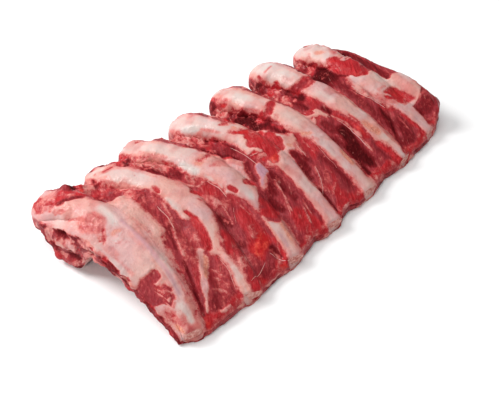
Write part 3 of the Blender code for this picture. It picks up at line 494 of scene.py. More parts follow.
    ("fat", 0.8, 5.0, 3.0, 1.5, ((5.93, 0.768), (5.98, 0.822))),
    ("rosy", 0.75, 1.8, 1.3, 1.0, ((6.16, 0.790), (6.12, 0.890))),
    ("pink", 0.7, 2.0, 1.5, 1.0, ((6.15, 0.800), (6.12, 0.900))),
    # gap 6-7
    ("pink", 0.6, 3.0, 2.0, 1.5, ((6.25, 0.270), (6.45, 0.230))),
    ("maroon", 0.8, 3.0, 2.0, 1.0, ((6.20, 0.300), (6.40, 0.280))),
    ("deep", 0.7, 1.5, 1.0, 0.8, ((6.14, 0.290), (6.20, 0.330))),
    ("red", 0.7, 3.0, 2.0, 1.0, ((6.40, 0.330), (6.55, 0.310))),
    ("pink", 0.3, 2.0, 1.5, 1.2, ((6.30, 0.335), (6.50, 0.305))),
    ("deep", 1.0, 8.0, 2.5, 0.6, ((6.28, 0.395), (6.54, 0.385))),
    ("deep", 0.9, 5.0, 2.5, 0.6, ((6.30, 0.440), (6.52, 0.440))),
    ("deep", 0.7, 3.0, 2.0, 0.8, ((6.25, 0.370), (6.30, 0.460))),
    ("maroon", 0.9, 6.0, 3.0, 0.8, ((6.40, 0.480), (6.45, 0.550))),
    ("maroon", 0.75, 6.0, 4.0, 0.6, ((6.38, 0.600), (6.40, 0.720))),
    ("maroon", 0.5, 4.0, 3.0, 0.6, ((6.30, 0.800), (6.35, 0.760))),
    ("deep", 0.75, 1.5, 1.5, 0.5, ((6.56, 0.740), (6.50, 0.830), (6.32, 0.900), (6.22, 0.950))),
    ("deep", 0.5, 3.0, 3.0, 0.6, ((6.50, 0.780), (6.40, 0.860))),
    ("maroon", 0.85, 6.0, 2.0, 0.5, ((6.60, 0.860), (6.52, 0.940))),
    ("maroon", 0.8, 4.0, 3.0, 0.5, ((6.42, 0.945), (6.26, 0.955))),
    ("pink", 0.7, 0.7, 0.6, 0.3, ((6.48, 0.560), (6.52, 0.640))),
    ("pink", 0.5, 0.5, 0.6, 0.5, ((6.66, 0.840), (6.60, 0.940))),
    ("red", 0.8, 1.5, 1.2, 0.8, ((6.78, 0.850), (6.80, 0.970))),
    ("red", 0.6, 2.0, 1.5, 0.8, ((6.70, 0.760), (6.72, 0.800))),
    ("fascia", 0.8, 1.4, 1.0, 0.8, ((6.56, 0.560), (6.60, 0.640), (6.68, 0.720))),
    ("pink", 0.9, 2.0, 1.2, 1.0, ((6.62, 0.620), (6.70, 0.700), (6.73, 0.770))),
    # rib 7
    ("pink", 0.6, 2.0, 1.5, 1.0, ((6.65, 0.250), (6.75, 0.220))),
    ("fat", 0.6, 3.0, 2.0, 1.2, ((6.85, 0.250), (6.95, 0.280))),
    ("rosy", 0.5, 4.0, 3.0, 0.8, ((7.25, 0.300), (7.50, 0.290))),
    ("pink", 0.8, 2.0, 1.3, 1.0, ((6.66, 0.320), (6.68, 0.450))),
    ("red", 1.0, 6.0, 1.6, 1.0, ((6.80, 0.370), (6.88, 0.440))),
    ("glow", 0.35, 3.0, 2.0, 0.8, ((6.82, 0.360), (6.90, 0.380))),
    ("red", 1.0, 4.5, 1.4, 0.8, ((6.71, 0.400), (6.72, 0.470), (6.90, 0.505))),
    ("red", 0.9, 3.0, 1.6, 0.8, ((6.85, 0.350), (7.02, 0.375))),
    ("deep", 0.6, 1.5, 1.2, 0.6, ((6.64, 0.460), (6.72, 0.500))),
    ("fat", 0.5, 3.0, 1.5, 0.8, ((7.12, 0.375), (7.50, 0.370))),
    ("maroon", 0.6, 0.9, 1.0, 0.6, ((7.12, 0.385), (7.50, 0.385))),
    ("maroon", 0.7, 0.9, 1.0, 0.6, ((7.15, 0.410), (7.50, 0.408))),
    ("rosy", 0.8, 3.0, 2.5, 1.0, ((7.15, 0.325), (7.50, 0.310))),
    ("fat", 0.5, 1.5, 1.2, 0.8, ((7.10, 0.360), (7.40, 0.350))),
    ("red", 1.0, 6.0, 1.4, 0.9, ((7.00, 0.455), (7.52, 0.460))),
    ("red", 1.0, 4.5, 1.4, 0.9, ((6.95, 0.505), (7.55, 0.520))),
    ("red", 0.7, 3.0, 1.2, 0.8, ((7.15, 0.545), (7.50, 0.545))),
    ("red", 1.0, 3.0, 1.4, 0.9, ((6.84, 0.525), (7.12, 0.552))),
    ("glow", 0.4, 2.5, 1.5, 0.8, ((6.80, 0.500), (6.90, 0.530))),
    ("maroon", 0.35, 5.0, 3.0, 0.8, ((7.25, 0.500), (7.45, 0.520))),
    ("pink", 0.5, 1.0, 1.0, 0.6, ((7.20, 0.500), (7.50, 0.490))),
    ("maroon", 0.95, 3.5, 1.3, 0.7, ((7.60, 0.340), (7.66, 0.500), (7.72, 0.640))),
    ("deep", 0.5, 1.5, 1.2, 0.6, ((7.58, 0.320), (7.60, 0.420))),
    ("maroon", 0.95, 2.0, 1.3, 0.7, ((7.60, 0.270), (7.60, 0.340))),
    ("red", 0.95, 5.0, 1.8, 1.0, ((6.98, 0.725), (7.42, 0.725))),
    ("red", 0.95, 5.0, 1.8, 1.0, ((7.04, 0.770), (7.56, 0.772))),
    ("red", 0.95, 4.2, 1.8, 1.0, ((7.14, 0.806), (7.64, 0.812))),
    ("red", 0.90, 3.0, 1.5, 0.8, ((7.50, 0.740), (7.66, 0.785))),
    ("rosy", 0.9, 4.0, 2.0, 1.2, ((6.78, 0.720), (6.94, 0.760))),
    ("glow", 0.55, 2.6, 1.8, 1.4, ((6.80, 0.690), (6.93, 0.725))),
    ("rosy", 0.45, 6.0, 3.0, 0.8, ((7.86, 0.700), (7.86, 0.820))),
    ("glow", 0.6, 3.5, 2.2, 1.4, ((6.86, 0.735), (6.98, 0.775))),
    ("glow", 0.45, 4.0, 3.0, 1.0, ((7.10, 0.740), (7.40, 0.750))),
    ("fascia", 0.9, 0.9, 0.8, 0.6, ((6.83, 0.690), (6.90, 0.705), (6.98, 0.735))),
    ("pink", 0.8, 1.4, 1.2, 1.0, ((6.88, 0.675), (7.05, 0.672), (7.15, 0.680))),
    ("rosy", 0.7, 2.5, 1.5, 1.0, ((6.85, 0.760), (6.92, 0.780))),
    ("maroon", 0.9, 7.0, 1.5, 0.7, ((7.50, 0.900), (7.90, 0.900))),
    ("maroon", 0.9, 3.0, 1.2, 0.7, ((7.30, 0.920), (7.40, 0.900))),
    ("veiled", 0.6, 2.5, 1.5, 1.0, ((7.25, 0.960), (7.45, 0.970))),
    ("red", 0.6, 2.0, 1.5, 1.0, ((7.25, 0.980), (7.50, 0.990))),
    ("pink", 0.8, 1.5, 1.0, 0.8, ((7.55, 0.970), (7.80, 0.960))),
    ("fat", 0.30, 3.0, 2.5, 0.6, ((6.94, 0.820), (6.94, 0.880))),
    ("lilac", 0.45, 2.4, 2.5, 0.4, ((6.95, 0.910), (6.93, 0.955))),
)

# Swellings and hollows of the upper side: number, along, half width and half length in mm, how many degrees
# the length leans, and the height in mm.
SWELLINGS = (
    (1.50, 0.08, 5, 8, 0, 4.0),
    (4.60, 0.31, 4, 10, 0, 3.0),
    (3.52, 0.29, 5, 10, 0, 2.0),
    (1.32, 0.07, 6, 7, 0, 5.0),
    (2.40, 0.10, 8, 8, 0, 2.5),
    (2.42, 0.24, 8, 11, 0, 5.0),
    (3.40, 0.14, 8, 8, 0, 2.5),
    (3.38, 0.25, 8, 12, 0, 3.0),
    (4.38, 0.21, 8, 9, 0, 2.5),
    (1.06, 0.62, 2.5, 55, 0, 1.2),
    (0.45, 0.40, 9, 14, 0, 1.0),
    (0.80, 0.55, 5, 18, 0, -0.8),
    (0.92, 0.13, 7, 6, 0, -1.5),
    (1.25, 0.85, 1.8, 22, 10, -2.6),
    (1.30, 0.47, 6, 22, 5, 0.8),
    (1.40, 0.24, 8, 10, 10, -3.0),
    (1.60, 0.55, 5, 22, 15, 1.4),
    (1.62, 0.72, 8, 16, 15, 1.8),
    (1.50, 0.84, 2.5, 14, 15, 1.0),
    (1.22, 0.46, 4, 30, 4, 1.2),
    (1.60, 0.90, 8, 12, 15, 1.2),
    (1.85, 0.60, 2.5, 9, 0, -1.0),
    (2.42, 0.44, 6, 12, 10, 1.2),
    (2.45, 0.60, 8, 16, 10, 1.4),
    (2.60, 0.82, 9, 24, 10, 2.4),
    (2.22, 0.78, 4.5, 16, 15, -2.2),
    (2.20, 0.93, 7, 9, 0, 1.2),
    (2.76, 0.94, 3.0, 6, 20, -2.6),
    (3.02, 0.56, 9, 25, 5, 1.0),
    (3.12, 0.80, 5, 9, 15, -1.2),
    (3.30, 0.78, 4, 16, 15, -1.8),
    (3.42, 0.43, 2.0, 16, 25, -2.0),
    (3.68, 0.74, 2.2, 14, 5, -1.6),
    (3.50, 0.66, 7, 9, 15, 1.0),
    (3.52, 0.88, 10, 16, 15, 2.0),
    (4.08, 0.52, 13, 12, 20, 1.6),
    (4.45, 0.55, 5, 10, 20, 1.0),
    (4.38, 0.38, 6, 10, 10, -3.0),
    (4.45, 0.70, 7, 14, 12, 1.4),
    (4.62, 0.86, 8, 22, 10, 2.0),
    (4.20, 0.86, 2.0, 20, 5, -2.2),
    (4.85, 0.395, 12, 3, 10, -1.2),
    (5.25, 0.80, 2.5, 30, 12, -2.4),
    (5.48, 0.76, 8, 16, 12, 1.2),
    (5.58, 0.40, 4, 9, 10, -2.6),
    (5.36, 0.40, 6, 8, 0, 1.4),
    (5.76, 0.82, 5, 30, 10, 1.6),
    (5.87, 0.38, 11, 5, 0, -1.2),
    (6.38, 0.42, 8, 9, 10, -3.0),
    (6.45, 0.86, 2.0, 22, 35, -2.0),
    (6.35, 0.66, 7, 24, 10, 1.6),
    (6.66, 0.88, 7, 18, 8, 1.8),
    (6.62, 0.66, 2.5, 18, 12, 1.2),
    (6.84, 0.41, 5, 10, 0, 1.4),
    (7.28, 0.38, 8, 3, 0, -0.8),
    (7.25, 0.48, 10, 8, 0, 1.2),
    (7.30, 0.76, 12, 9, 0, -1.4),
    (7.62, 0.91, 12, 9, 0, 1.8),
)

# Strands on the upper side: the points they pass, as number and along, their width in mm and their tissue.
STRANDS = (
    (((1.66, 0.46), (1.63, 0.53), (1.55, 0.60)), 1.1, "fascia"),
    (((1.80, 0.80), (1.84, 0.87), (1.80, 0.95)), 0.8, "fascia"),
    (((2.06, 0.968), (2.30, 0.960), (2.50, 0.935)), 0.8, "fascia"),
    (((2.64, 0.92), (2.75, 0.96), (2.84, 0.99)), 1.1, "fascia"),
    (((2.66, 0.50), (2.70, 0.57), (2.65, 0.63)), 1.0, "fascia"),
    (((2.60, 0.68), (2.52, 0.705), (2.42, 0.745)), 0.8, "pink"),
    (((3.63, 0.42), (3.64, 0.50), (3.63, 0.60)), 1.0, "fascia"),
    (((3.60, 0.74), (3.50, 0.80), (3.40, 0.86)), 0.7, "pink"),
    (((4.48, 0.755), (4.42, 0.80), (4.32, 0.845), (4.22, 0.872)), 0.7, "fascia"),
    (((4.56, 0.62), (4.52, 0.66), (4.50, 0.70)), 0.9, "fascia"),
    (((4.85, 0.64), (4.84, 0.72), (4.80, 0.84)), 0.8, "pink"),
    (((5.48, 0.52), (5.54, 0.56), (5.60, 0.62)), 1.1, "fascia"),
    (((5.64, 0.64), (5.68, 0.70), (5.66, 0.78), (5.62, 0.88)), 1.1, "fascia"),
    (((6.53, 0.58), (6.58, 0.64), (6.66, 0.70), (6.70, 0.76)), 1.3, "fascia"),
    (((6.80, 0.68), (6.84, 0.74), (6.82, 0.80)), 0.9, "pink"),
)
CURLS = (
    (((3.69, 0.530), (3.76, 0.536), (3.82, 0.552)), 2.4, "pink"),
    (((3.69, 0.610), (3.75, 0.630), (3.81, 0.652)), 2.6, "rosy"),
)

# Marks on the two cut ends: the side, the middle's Y and Z, half sizes in Y and Z and how far it stands out,
# in mm, then the tissue and how strongly it shows.
END_MARKS = (
    (-1.0, 48, 37, 10, 6, -2.5, "maroon", 0.9),
    (-1.0, 49, 37, 6, 4, -1.0, "deep", 0.7),
    (-1.0, 52, 40, 5, 3, 0.0, "maroon", 0.9),
    (-1.0, 44, 26, 14, 5, 2.2, "pink", 0.9),
    (-1.0, 38, 30, 7, 4, 1.2, "fascia", 0.8),
    (-1.0, 50, 24, 6, 3, 0.8, "fascia", 0.8),
    (-1.0, 36, 19, 7, 4, -1.5, "deep", 0.7),
    (-1.0, 42, 9, 20, 8, 2.4, "lean", 0.5),
    (-1.0, 34, 12, 4, 3, 0.6, "pink", 0.9),
    (-1.0, 47, 14, 5, 2, 0.6, "rosy", 0.9),
    (-1.0, 55, 10, 5, 5, 1.0, "glow", 0.5),
    (-1.0, 30, 6, 8, 4, 0.0, "deep", 0.7),
    (-1.0, 62, 30, 5, 12, 0.8, "pink", 0.9),
    (-1.0, 22, 40, 8, 4, 0.8, "pink", 0.9),
    (-1.0, 0, 42, 14, 3, 0.6, "pink", 0.7),
    (-1.0, -34, 36, 20, 3, 0.4, "maroon", 0.6),
    (-1.0, 14, 28, 12, 5, 1.4, "rosy", 0.8),
    (1.0, -60, 24, 24, 8, 0.6, "maroon", 0.8),
    (1.0, -20, 36, 20, 4, 0.5, "pink", 0.7),
    (1.0, 30, 30, 16, 8, -1.5, "deep", 0.5),
)

SLANT = (0.80, 0.72)  # how far to the right and to the back a tissue moves for each length it runs down
FIBRE_LEAN = math.radians(34)  # the muscle fibres lean this much from the ribs' direction

# ---- how finely the surfaces are drawn ----
MEAT_COLUMNS = 305
TOP_ROWS = 186
FRONT_ROWS = 13
UNDER_ROWS = 66
BACK_ROWS = 22
CAP_STEPS = (0.02, 0.05, 0.09, 0.14, 0.20, 0.27, 0.35, 0.44, 0.53, 0.62, 0.71, 0.80, 0.89, 0.97)
BONE_RINGS = 270
BONE_RING_POINTS = 108
SAWN_RINGS = 8
STRAND_RINGS = 44
STRAND_RING_POINTS = 10

# The stretches of a section of the meat, in order, and the faces of its two ends.
TOP, FRONT, UNDER, BACK, LEFT_FACE, RIGHT_FACE = range(6)

# ---- the light and the camera ----
# Each soft box: its place, the length of its side and its power in watts. All of them face the rack.
SOFT_BOXES = {
    "soft box overhead": ((-0.15, 0.30, 1.90), 1.40, 13.5),
    "soft box behind": ((-0.80, 1.55, 1.40), 1.00, 47.0),
    "soft box in front": ((-0.90, -0.50, 0.80), 0.40, 2.6),
}
ROOM_LIGHT = 0.33
PAPER_HALF_WIDTH = 1.6
CAMERA_AZIMUTH = math.radians(-48.0)
CAMERA_ELEVATION = math.radians(43.0)
CAMERA_DISTANCE = 0.76
CAMERA_LENS_MM = 61.2
CAMERA_SENSOR_MM = 36.0
CAMERA_SHIFT = (0.010, -0.020)


# ---- small tools ----
def blend(start, end, share):
    """A straight blend from start to end."""
    return start + (end - start) * share


def smooth(low, high, value):
    """0 below low, 1 above high, and an S-curve between."""
    share = np.clip((value - low) / (high - low), 0.0, 1.0)
    return share * share * (3.0 - 2.0 * share)


def soft_max(first, second, width):
    """The larger of two heights, rounded where they cross: half of their sum plus the root of the squared
    difference and the squared width of the rounding."""
    return 0.5 * (first + second + np.sqrt((first - second) ** 2 + width**2))


def under_crown(height):
    """Heights above the rack's crown, pressed down so that they end a margin above it: the crown plus the
    margin times the hyperbolic tangent of the excess in margins."""
    excess = np.clip(height - CROWN, 0.0, None) / CROWN_MARGIN
    return np.minimum(height, CROWN) + CROWN_MARGIN * np.tanh(excess)


def lattice(cell, seed):
    """A repeatable value from -1 to 1 for each whole-numbered cell: its numbers times large primes, mixed
    by shifts."""
    cell = cell.astype(np.int64).astype(np.uint64)
    mixed = cell[..., 0] * np.uint64(73856093) ^ cell[..., 1] * np.uint64(19349663)
    mixed = mixed ^ cell[..., 2] * np.uint64(83492791) ^ np.uint64(seed * 2654435761 % 2**32)
    for shift, prime in ((15, 2246822519), (13, 3266489917), (16, 668265263)):
        mixed = mixed & np.uint64(0xFFFFFFFF)
        mixed = (mixed ^ (mixed >> np.uint64(shift))) * np.uint64(prime)
    return (mixed & np.uint64(0xFFFFFF)).astype(float) / 0x7FFFFF - 1.0


def noise(place_mm, size_mm, seed):
    """Smooth relief from -1 to 1: the values at the eight corners of each cell, size_mm wide, blended by
    S-curves."""
    place = place_mm / np.asarray(size_mm, float)
    cell = np.floor(place)
    share = place - cell
    share = share**3 * (share * (share * 6.0 - 15.0) + 10.0)
    total = 0.0
    for corner in itertools.product((0.0, 1.0), repeat=3):
        weight = np.prod(np.where(corner, share, 1.0 - share), axis=-1)
        total = total + weight * lattice(cell + np.array(corner), seed)
    return total


def rough(place_mm, size_mm, seed, layers=3):
    """Noise over noise, each layer half the size and height of the one before."""
    sizes = np.asarray(size_mm, float)
    total = sum(noise(place_mm, sizes / 2**n, seed + n) / 2**n for n in range(layers))
    return total / (2.0 - 0.5 ** (layers - 1))


def ridges(place_mm, size_mm, seed):
    """Creases and rounded backs from 0 to 1: one less twice the absolute value of a noise."""
    return np.clip(1.0 - 2.0 * np.abs(noise(place_mm, size_mm, seed)), 0.0, 1.0)


# ---- places on the rack ----
def rib_lines(along):
    """X of the nine lines from heads to sawn edge: the meat's left end, the seven ribs and its right end."""
    along = np.asarray(along, float)
    bowed = 4.0 * along * (1.0 - along)
    return np.stack([start + (end - start) * along + bow * bowed for start, bow, end in LINES])


def line_x(number, along):
    """X of a rib number: a straight blend between the lines on either side of it."""
    number, along = np.broadcast_arrays(np.asarray(number, float), np.asarray(along, float))
    lines = rib_lines(along)
    low = np.clip(np.floor(number), 0, len(LINES) - 2).astype(int)
    left, right = (np.take_along_axis(lines, index[None], 0)[0] for index in (low, low + 1))
    return blend(left, right, number - low)


def number_at(x, along):
    """The rib number of a place, counting on at the same pace beyond the two ends."""
    lines = rib_lines(along)
    low = np.clip((x[None] > lines).sum(axis=0) - 1, 0, len(LINES) - 2)
    left, right = (np.take_along_axis(lines, index[None], 0)[0] for index in (low, low + 1))
    return low + (x - left) / (right - left)


def front_edge(x):
    """Y of the sawn edge."""
    places, set_backs = zip(*FRONT_EDGE, strict=True)
    return FRONT_Y + np.interp(x, places, set_backs)


def depth_of(x, along, head_y=HEAD_TIP_Y):
    """Y at a share of the way from the heads to the sawn edge."""
    return blend(head_y, front_edge(x), along)


def along_at(x, y):
    """The share of the way from the heads to the sawn edge."""
    return (HEAD_TIP_Y - y) / (HEAD_TIP_Y - front_edge(x))


def arch_top(x, along):
    """Height of the bones' tops: a straight slope from head to sawn end, and a skewed half sine over it."""
    across = np.clip((x - RACK_LEFT_X) / RACK_WIDTH, 0.0, 1.0)
    rise = blend(*ARCH_RISE, across) * np.sin(math.pi * np.clip(along, 0.0, 1.0) ** ARCH_SKEW)
    return blend(blend(*HEAD_HEIGHT, across), END_HEIGHT, along) + rise


def meat_height(number, x, along):
    """Height of the meat: a little below the bones in front, much lower between the heads, with a seam in
    each gap."""
    gap = np.clip(np.floor(number), 1, len(RIBS) - 1).astype(int) - 1
    seam, seam_depth, fills, at_heads = (np.array(column)[gap] for column in zip(*GAPS, strict=True))
    share = number - gap - 1.0
    inside = (share > 0.0) & (share < 1.0)
    middle = np.where(inside, np.sin(math.pi * np.clip(share, 0.0, 1.0)) ** 0.7, 0.0)
    open_gap = 1.0 - smooth(fills - 0.20, fills + 0.03, along)
    proud = blend(BONE_STANDS_PROUD, HEAD_STANDS_PROUD, 1.0 - smooth(0.10, 0.42, along))
    depth = proud + middle * blend(GAP_DEPTH_IN_FRONT - BONE_STANDS_PROUD, at_heads - proud, open_gap)
    furrow = np.where(inside, np.exp(-(((share - seam) / SEAM_WIDTH) ** 2)), 0.0)
    depth = depth + furrow * seam_depth * smooth(0.35, 0.5, along) * (1.0 - smooth(0.86, 0.98, along))
    past_ends = (np.clip(1.0 - number, 0.0, 1.0), np.clip(number - len(RIBS), 0.0, 1.0))
    for past, falls in zip(past_ends, END_FALL, strict=True):
        depth = depth + blend(*falls, smooth(0.3, 1.0, along)) * past**1.5
    lobe = smooth(0.2, 0.8, number - len(RIBS)) * smooth(0.5, 0.85, along)
    return arch_top(x, along) - depth + LOBE_RISE * lobe


def underside(x, along):
    """Height of the hollow side: the arch less the slab's thickness, running down to the foot and the front
    edge."""
    thickness = blend(*SLAB_THICKNESS, smooth(0.35, 1.0, along))
    rise = smooth(0.0, FOOT_TO_CROWN, FOOT_Y[1] - depth_of(x, along))
    return np.maximum((arch_top(x, along) - thickness) * rise, 0.0)


# ---- the bones ----
def bone_line(rib, share):
    """The middle line of a bone seen from above: X, Y, the line's direction in X and in Y, and the length
    that a share of 1 would cover at this pace."""
    start, bow, end, set_back = RIBS[rib][:4]
    x = start + (end - start) * share + bow * 4.0 * share * (1.0 - share)
    y = depth_of(x, share, HEAD_TIP_Y - set_back)
    ahead_x = (end - start) + bow * 4.0 * (1.0 - 2.0 * share)
    ahead_y = front_edge(x) - (HEAD_TIP_Y - set_back)
    length = np.hypot(ahead_x, ahead_y)
    return x, y, ahead_x / length, ahead_y / length, length


def bone_section(rib, share):
    """Half width, half height and middle height of a bone. The sizes are a running mean of BONE_SECTIONS."""
    shares, widths, heights = zip(*BONE_SECTIONS, strict=True)
    swell = blend(RIBS[rib][4], 1.0, smooth(0.15, 0.40, share))
    steps = (-0.04, -0.02, 0.0, 0.02, 0.04)
    half_width = sum(np.interp(share + step, shares, widths) for step in steps) / len(steps) / 2.0 * swell
    half_height = sum(np.interp(share + step, shares, heights) for step in steps) / len(steps) / 2.0 * swell
    drop = HEAD_DROP * (1.0 - smooth(0.0, 0.16, share))
    x = bone_line(rib, share)[0]
    middle = arch_top(x, share) - half_height * blend(0.85, 1.0, smooth(0.0, 0.08, share)) - drop
    tip = np.clip(1.0 - share / RIBS[rib][5], 0.0, 1.0)
    rounding = (1.0 - tip**BONE_SQUARENESS) ** (1.0 / BONE_SQUARENESS)
    return half_width * rounding, half_height * rounding, middle


def bone_surface(rib, x, y):
    """Height of a bone's top and of its bottom over a place: an oval section round the nearest point of its
    line.

    The nearest point is found by stepping along the line three times. Beyond the bone its top falls away
    steeply.
    """
    share = np.clip(along_at(x, y), 0.0, 1.0)
    for _ in range(3):
        line_x_there, line_y_there, ahead_x, ahead_y, length = bone_line(rib, share)
        share = share + ((x - line_x_there) * ahead_x + (y - line_y_there) * ahead_y) / length
        share = np.clip(share, 0.0, 1.0)
    line_x_there, line_y_there, ahead_x, ahead_y, _ = bone_line(rib, share)
    offset = (line_y_there - y) * -ahead_x - (x - line_x_there) * ahead_y
    half_width, half_height, middle = bone_section(rib, share)
    reach = np.abs(offset) / np.maximum(half_width, 1e-6)
    oval = half_height * np.clip(1.0 - reach**BONE_SQUARENESS, 0.0, 1.0) ** (1.0 / BONE_SQUARENESS)
    past = np.clip(np.abs(offset) - half_width, 0.0, None) * 6.0
    return middle + oval - past, middle - oval + past


def bones_over(x, y):
    """The highest of the bones' tops over a place, and the bottom of that bone."""
    tops, bottoms = zip(*(bone_surface(rib, x, y) for rib in range(len(RIBS))), strict=True)
    tops, bottoms = np.stack(tops), np.stack(bottoms)
    best = tops.argmax(axis=0)[None]
    return np.take_along_axis(tops, best, 0)[0], np.take_along_axis(bottoms, best, 0)[0]


# ---- tissue and relief ----
def fibre_place(x, y, z, lean=FIBRE_LEAN):
    """Places in mm along the muscle fibres, across them, and upwards, with a slow wander."""
    place = np.stack([x, y, z], -1) / MM
    wander = noise(place, 24.0, 71) * 2.5
    along = place[..., 0] * math.sin(lean) + place[..., 1] * math.cos(lean)
    across = place[..., 0] * math.cos(lean) - place[..., 1] * math.sin(lean)
    return np.stack([along, across + wander, place[..., 2]], -1)


def from_patch(x, y, number, along, half_width, half_length, lean):
    """Distance from a patch's middle in XY, in half sizes of its turned ellipse."""
    middle_x = line_x(number, along)
    middle_y = depth_of(middle_x, along)
    turn = math.radians(lean)
    aside, ahead = (x - middle_x) / MM, (y - middle_y) / MM
    width = (aside * math.cos(turn) - ahead * math.sin(turn)) / half_width
    length = (aside * math.sin(turn) + ahead * math.cos(turn)) / half_length
    return np.hypot(width, length)


def paint(x, y, state, fray):
    """Lays the strokes over the tissue. A stroke covers the places within its half width of its line, with
    the border pushed in and out by the fraying and softened by an S-curve."""
    flat_x, flat_y, flat = x.ravel() / MM, y.ravel() / MM, state.reshape(-1, state.shape[-1])
    fray = fray.ravel()
    for tissue, strength, half, soft, ragged, line in STROKES:
        numbers, alongs = np.array(line).T
        line_xs = line_x(numbers, alongs)
        line_ys = depth_of(line_xs, alongs) / MM
        line_xs = line_xs / MM
        margin = half + 1.3 * soft + 1.5 * ragged
        near = (flat_x > line_xs.min() - margin) & (flat_x < line_xs.max() + margin)
        near &= (flat_y > line_ys.min() - margin) & (flat_y < line_ys.max() + margin)
        near = np.nonzero(near)[0]
        away = np.full(near.shape, 1e3)
        for start_x, start_y, end_x, end_y in zip(line_xs, line_ys, line_xs[1:], line_ys[1:]):
            ahead_x, ahead_y = end_x - start_x, end_y - start_y
            past_x, past_y = flat_x[near] - start_x, flat_y[near] - start_y
            share = np.clip((past_x * ahead_x + past_y * ahead_y) / (ahead_x**2 + ahead_y**2), 0.0, 1.0)
            away = np.minimum(away, np.hypot(past_x - share * ahead_x, past_y - share * ahead_y))
        share = smooth(-1.3 * soft, 1.3 * soft, half - away + fray[near] * ragged) * strength
        flat[near] = blend(flat[near], np.array(TISSUES[tissue]), share[:, None])
    return flat.reshape(state.shape)


def slanted(x, y, z):
    """Where the layout lies for a place on a flank: the tissues run down the flanks along a slanting line,
    so the place is moved to the front left by its depth under the layout's level times SLANT.

    Returns the moved X and Y, and how surely the place lies behind the crest of the rib to its left.
    """
    along = along_at(x, y)
    number = number_at(x, along)
    into_gap = np.clip((np.abs(number - np.round(number)) - 0.25) / 0.25, 0.0, 1.0)
    level = arch_top(x, along) - 4.0 * MM * into_gap
    drop = np.clip(level - z, -0.016, 0.030)
    moved_x, moved_y = x - SLANT[0] * drop, y - SLANT[1] * drop
    crest = np.clip(np.floor(number), 1, len(RIBS))
    moved_number = number_at(moved_x, along_at(moved_x, moved_y))
    behind = smooth(0.14, 0.0, moved_number - crest) * smooth(3.5, 7.0, drop / MM) * (number > crest)
    return moved_x, moved_y, behind


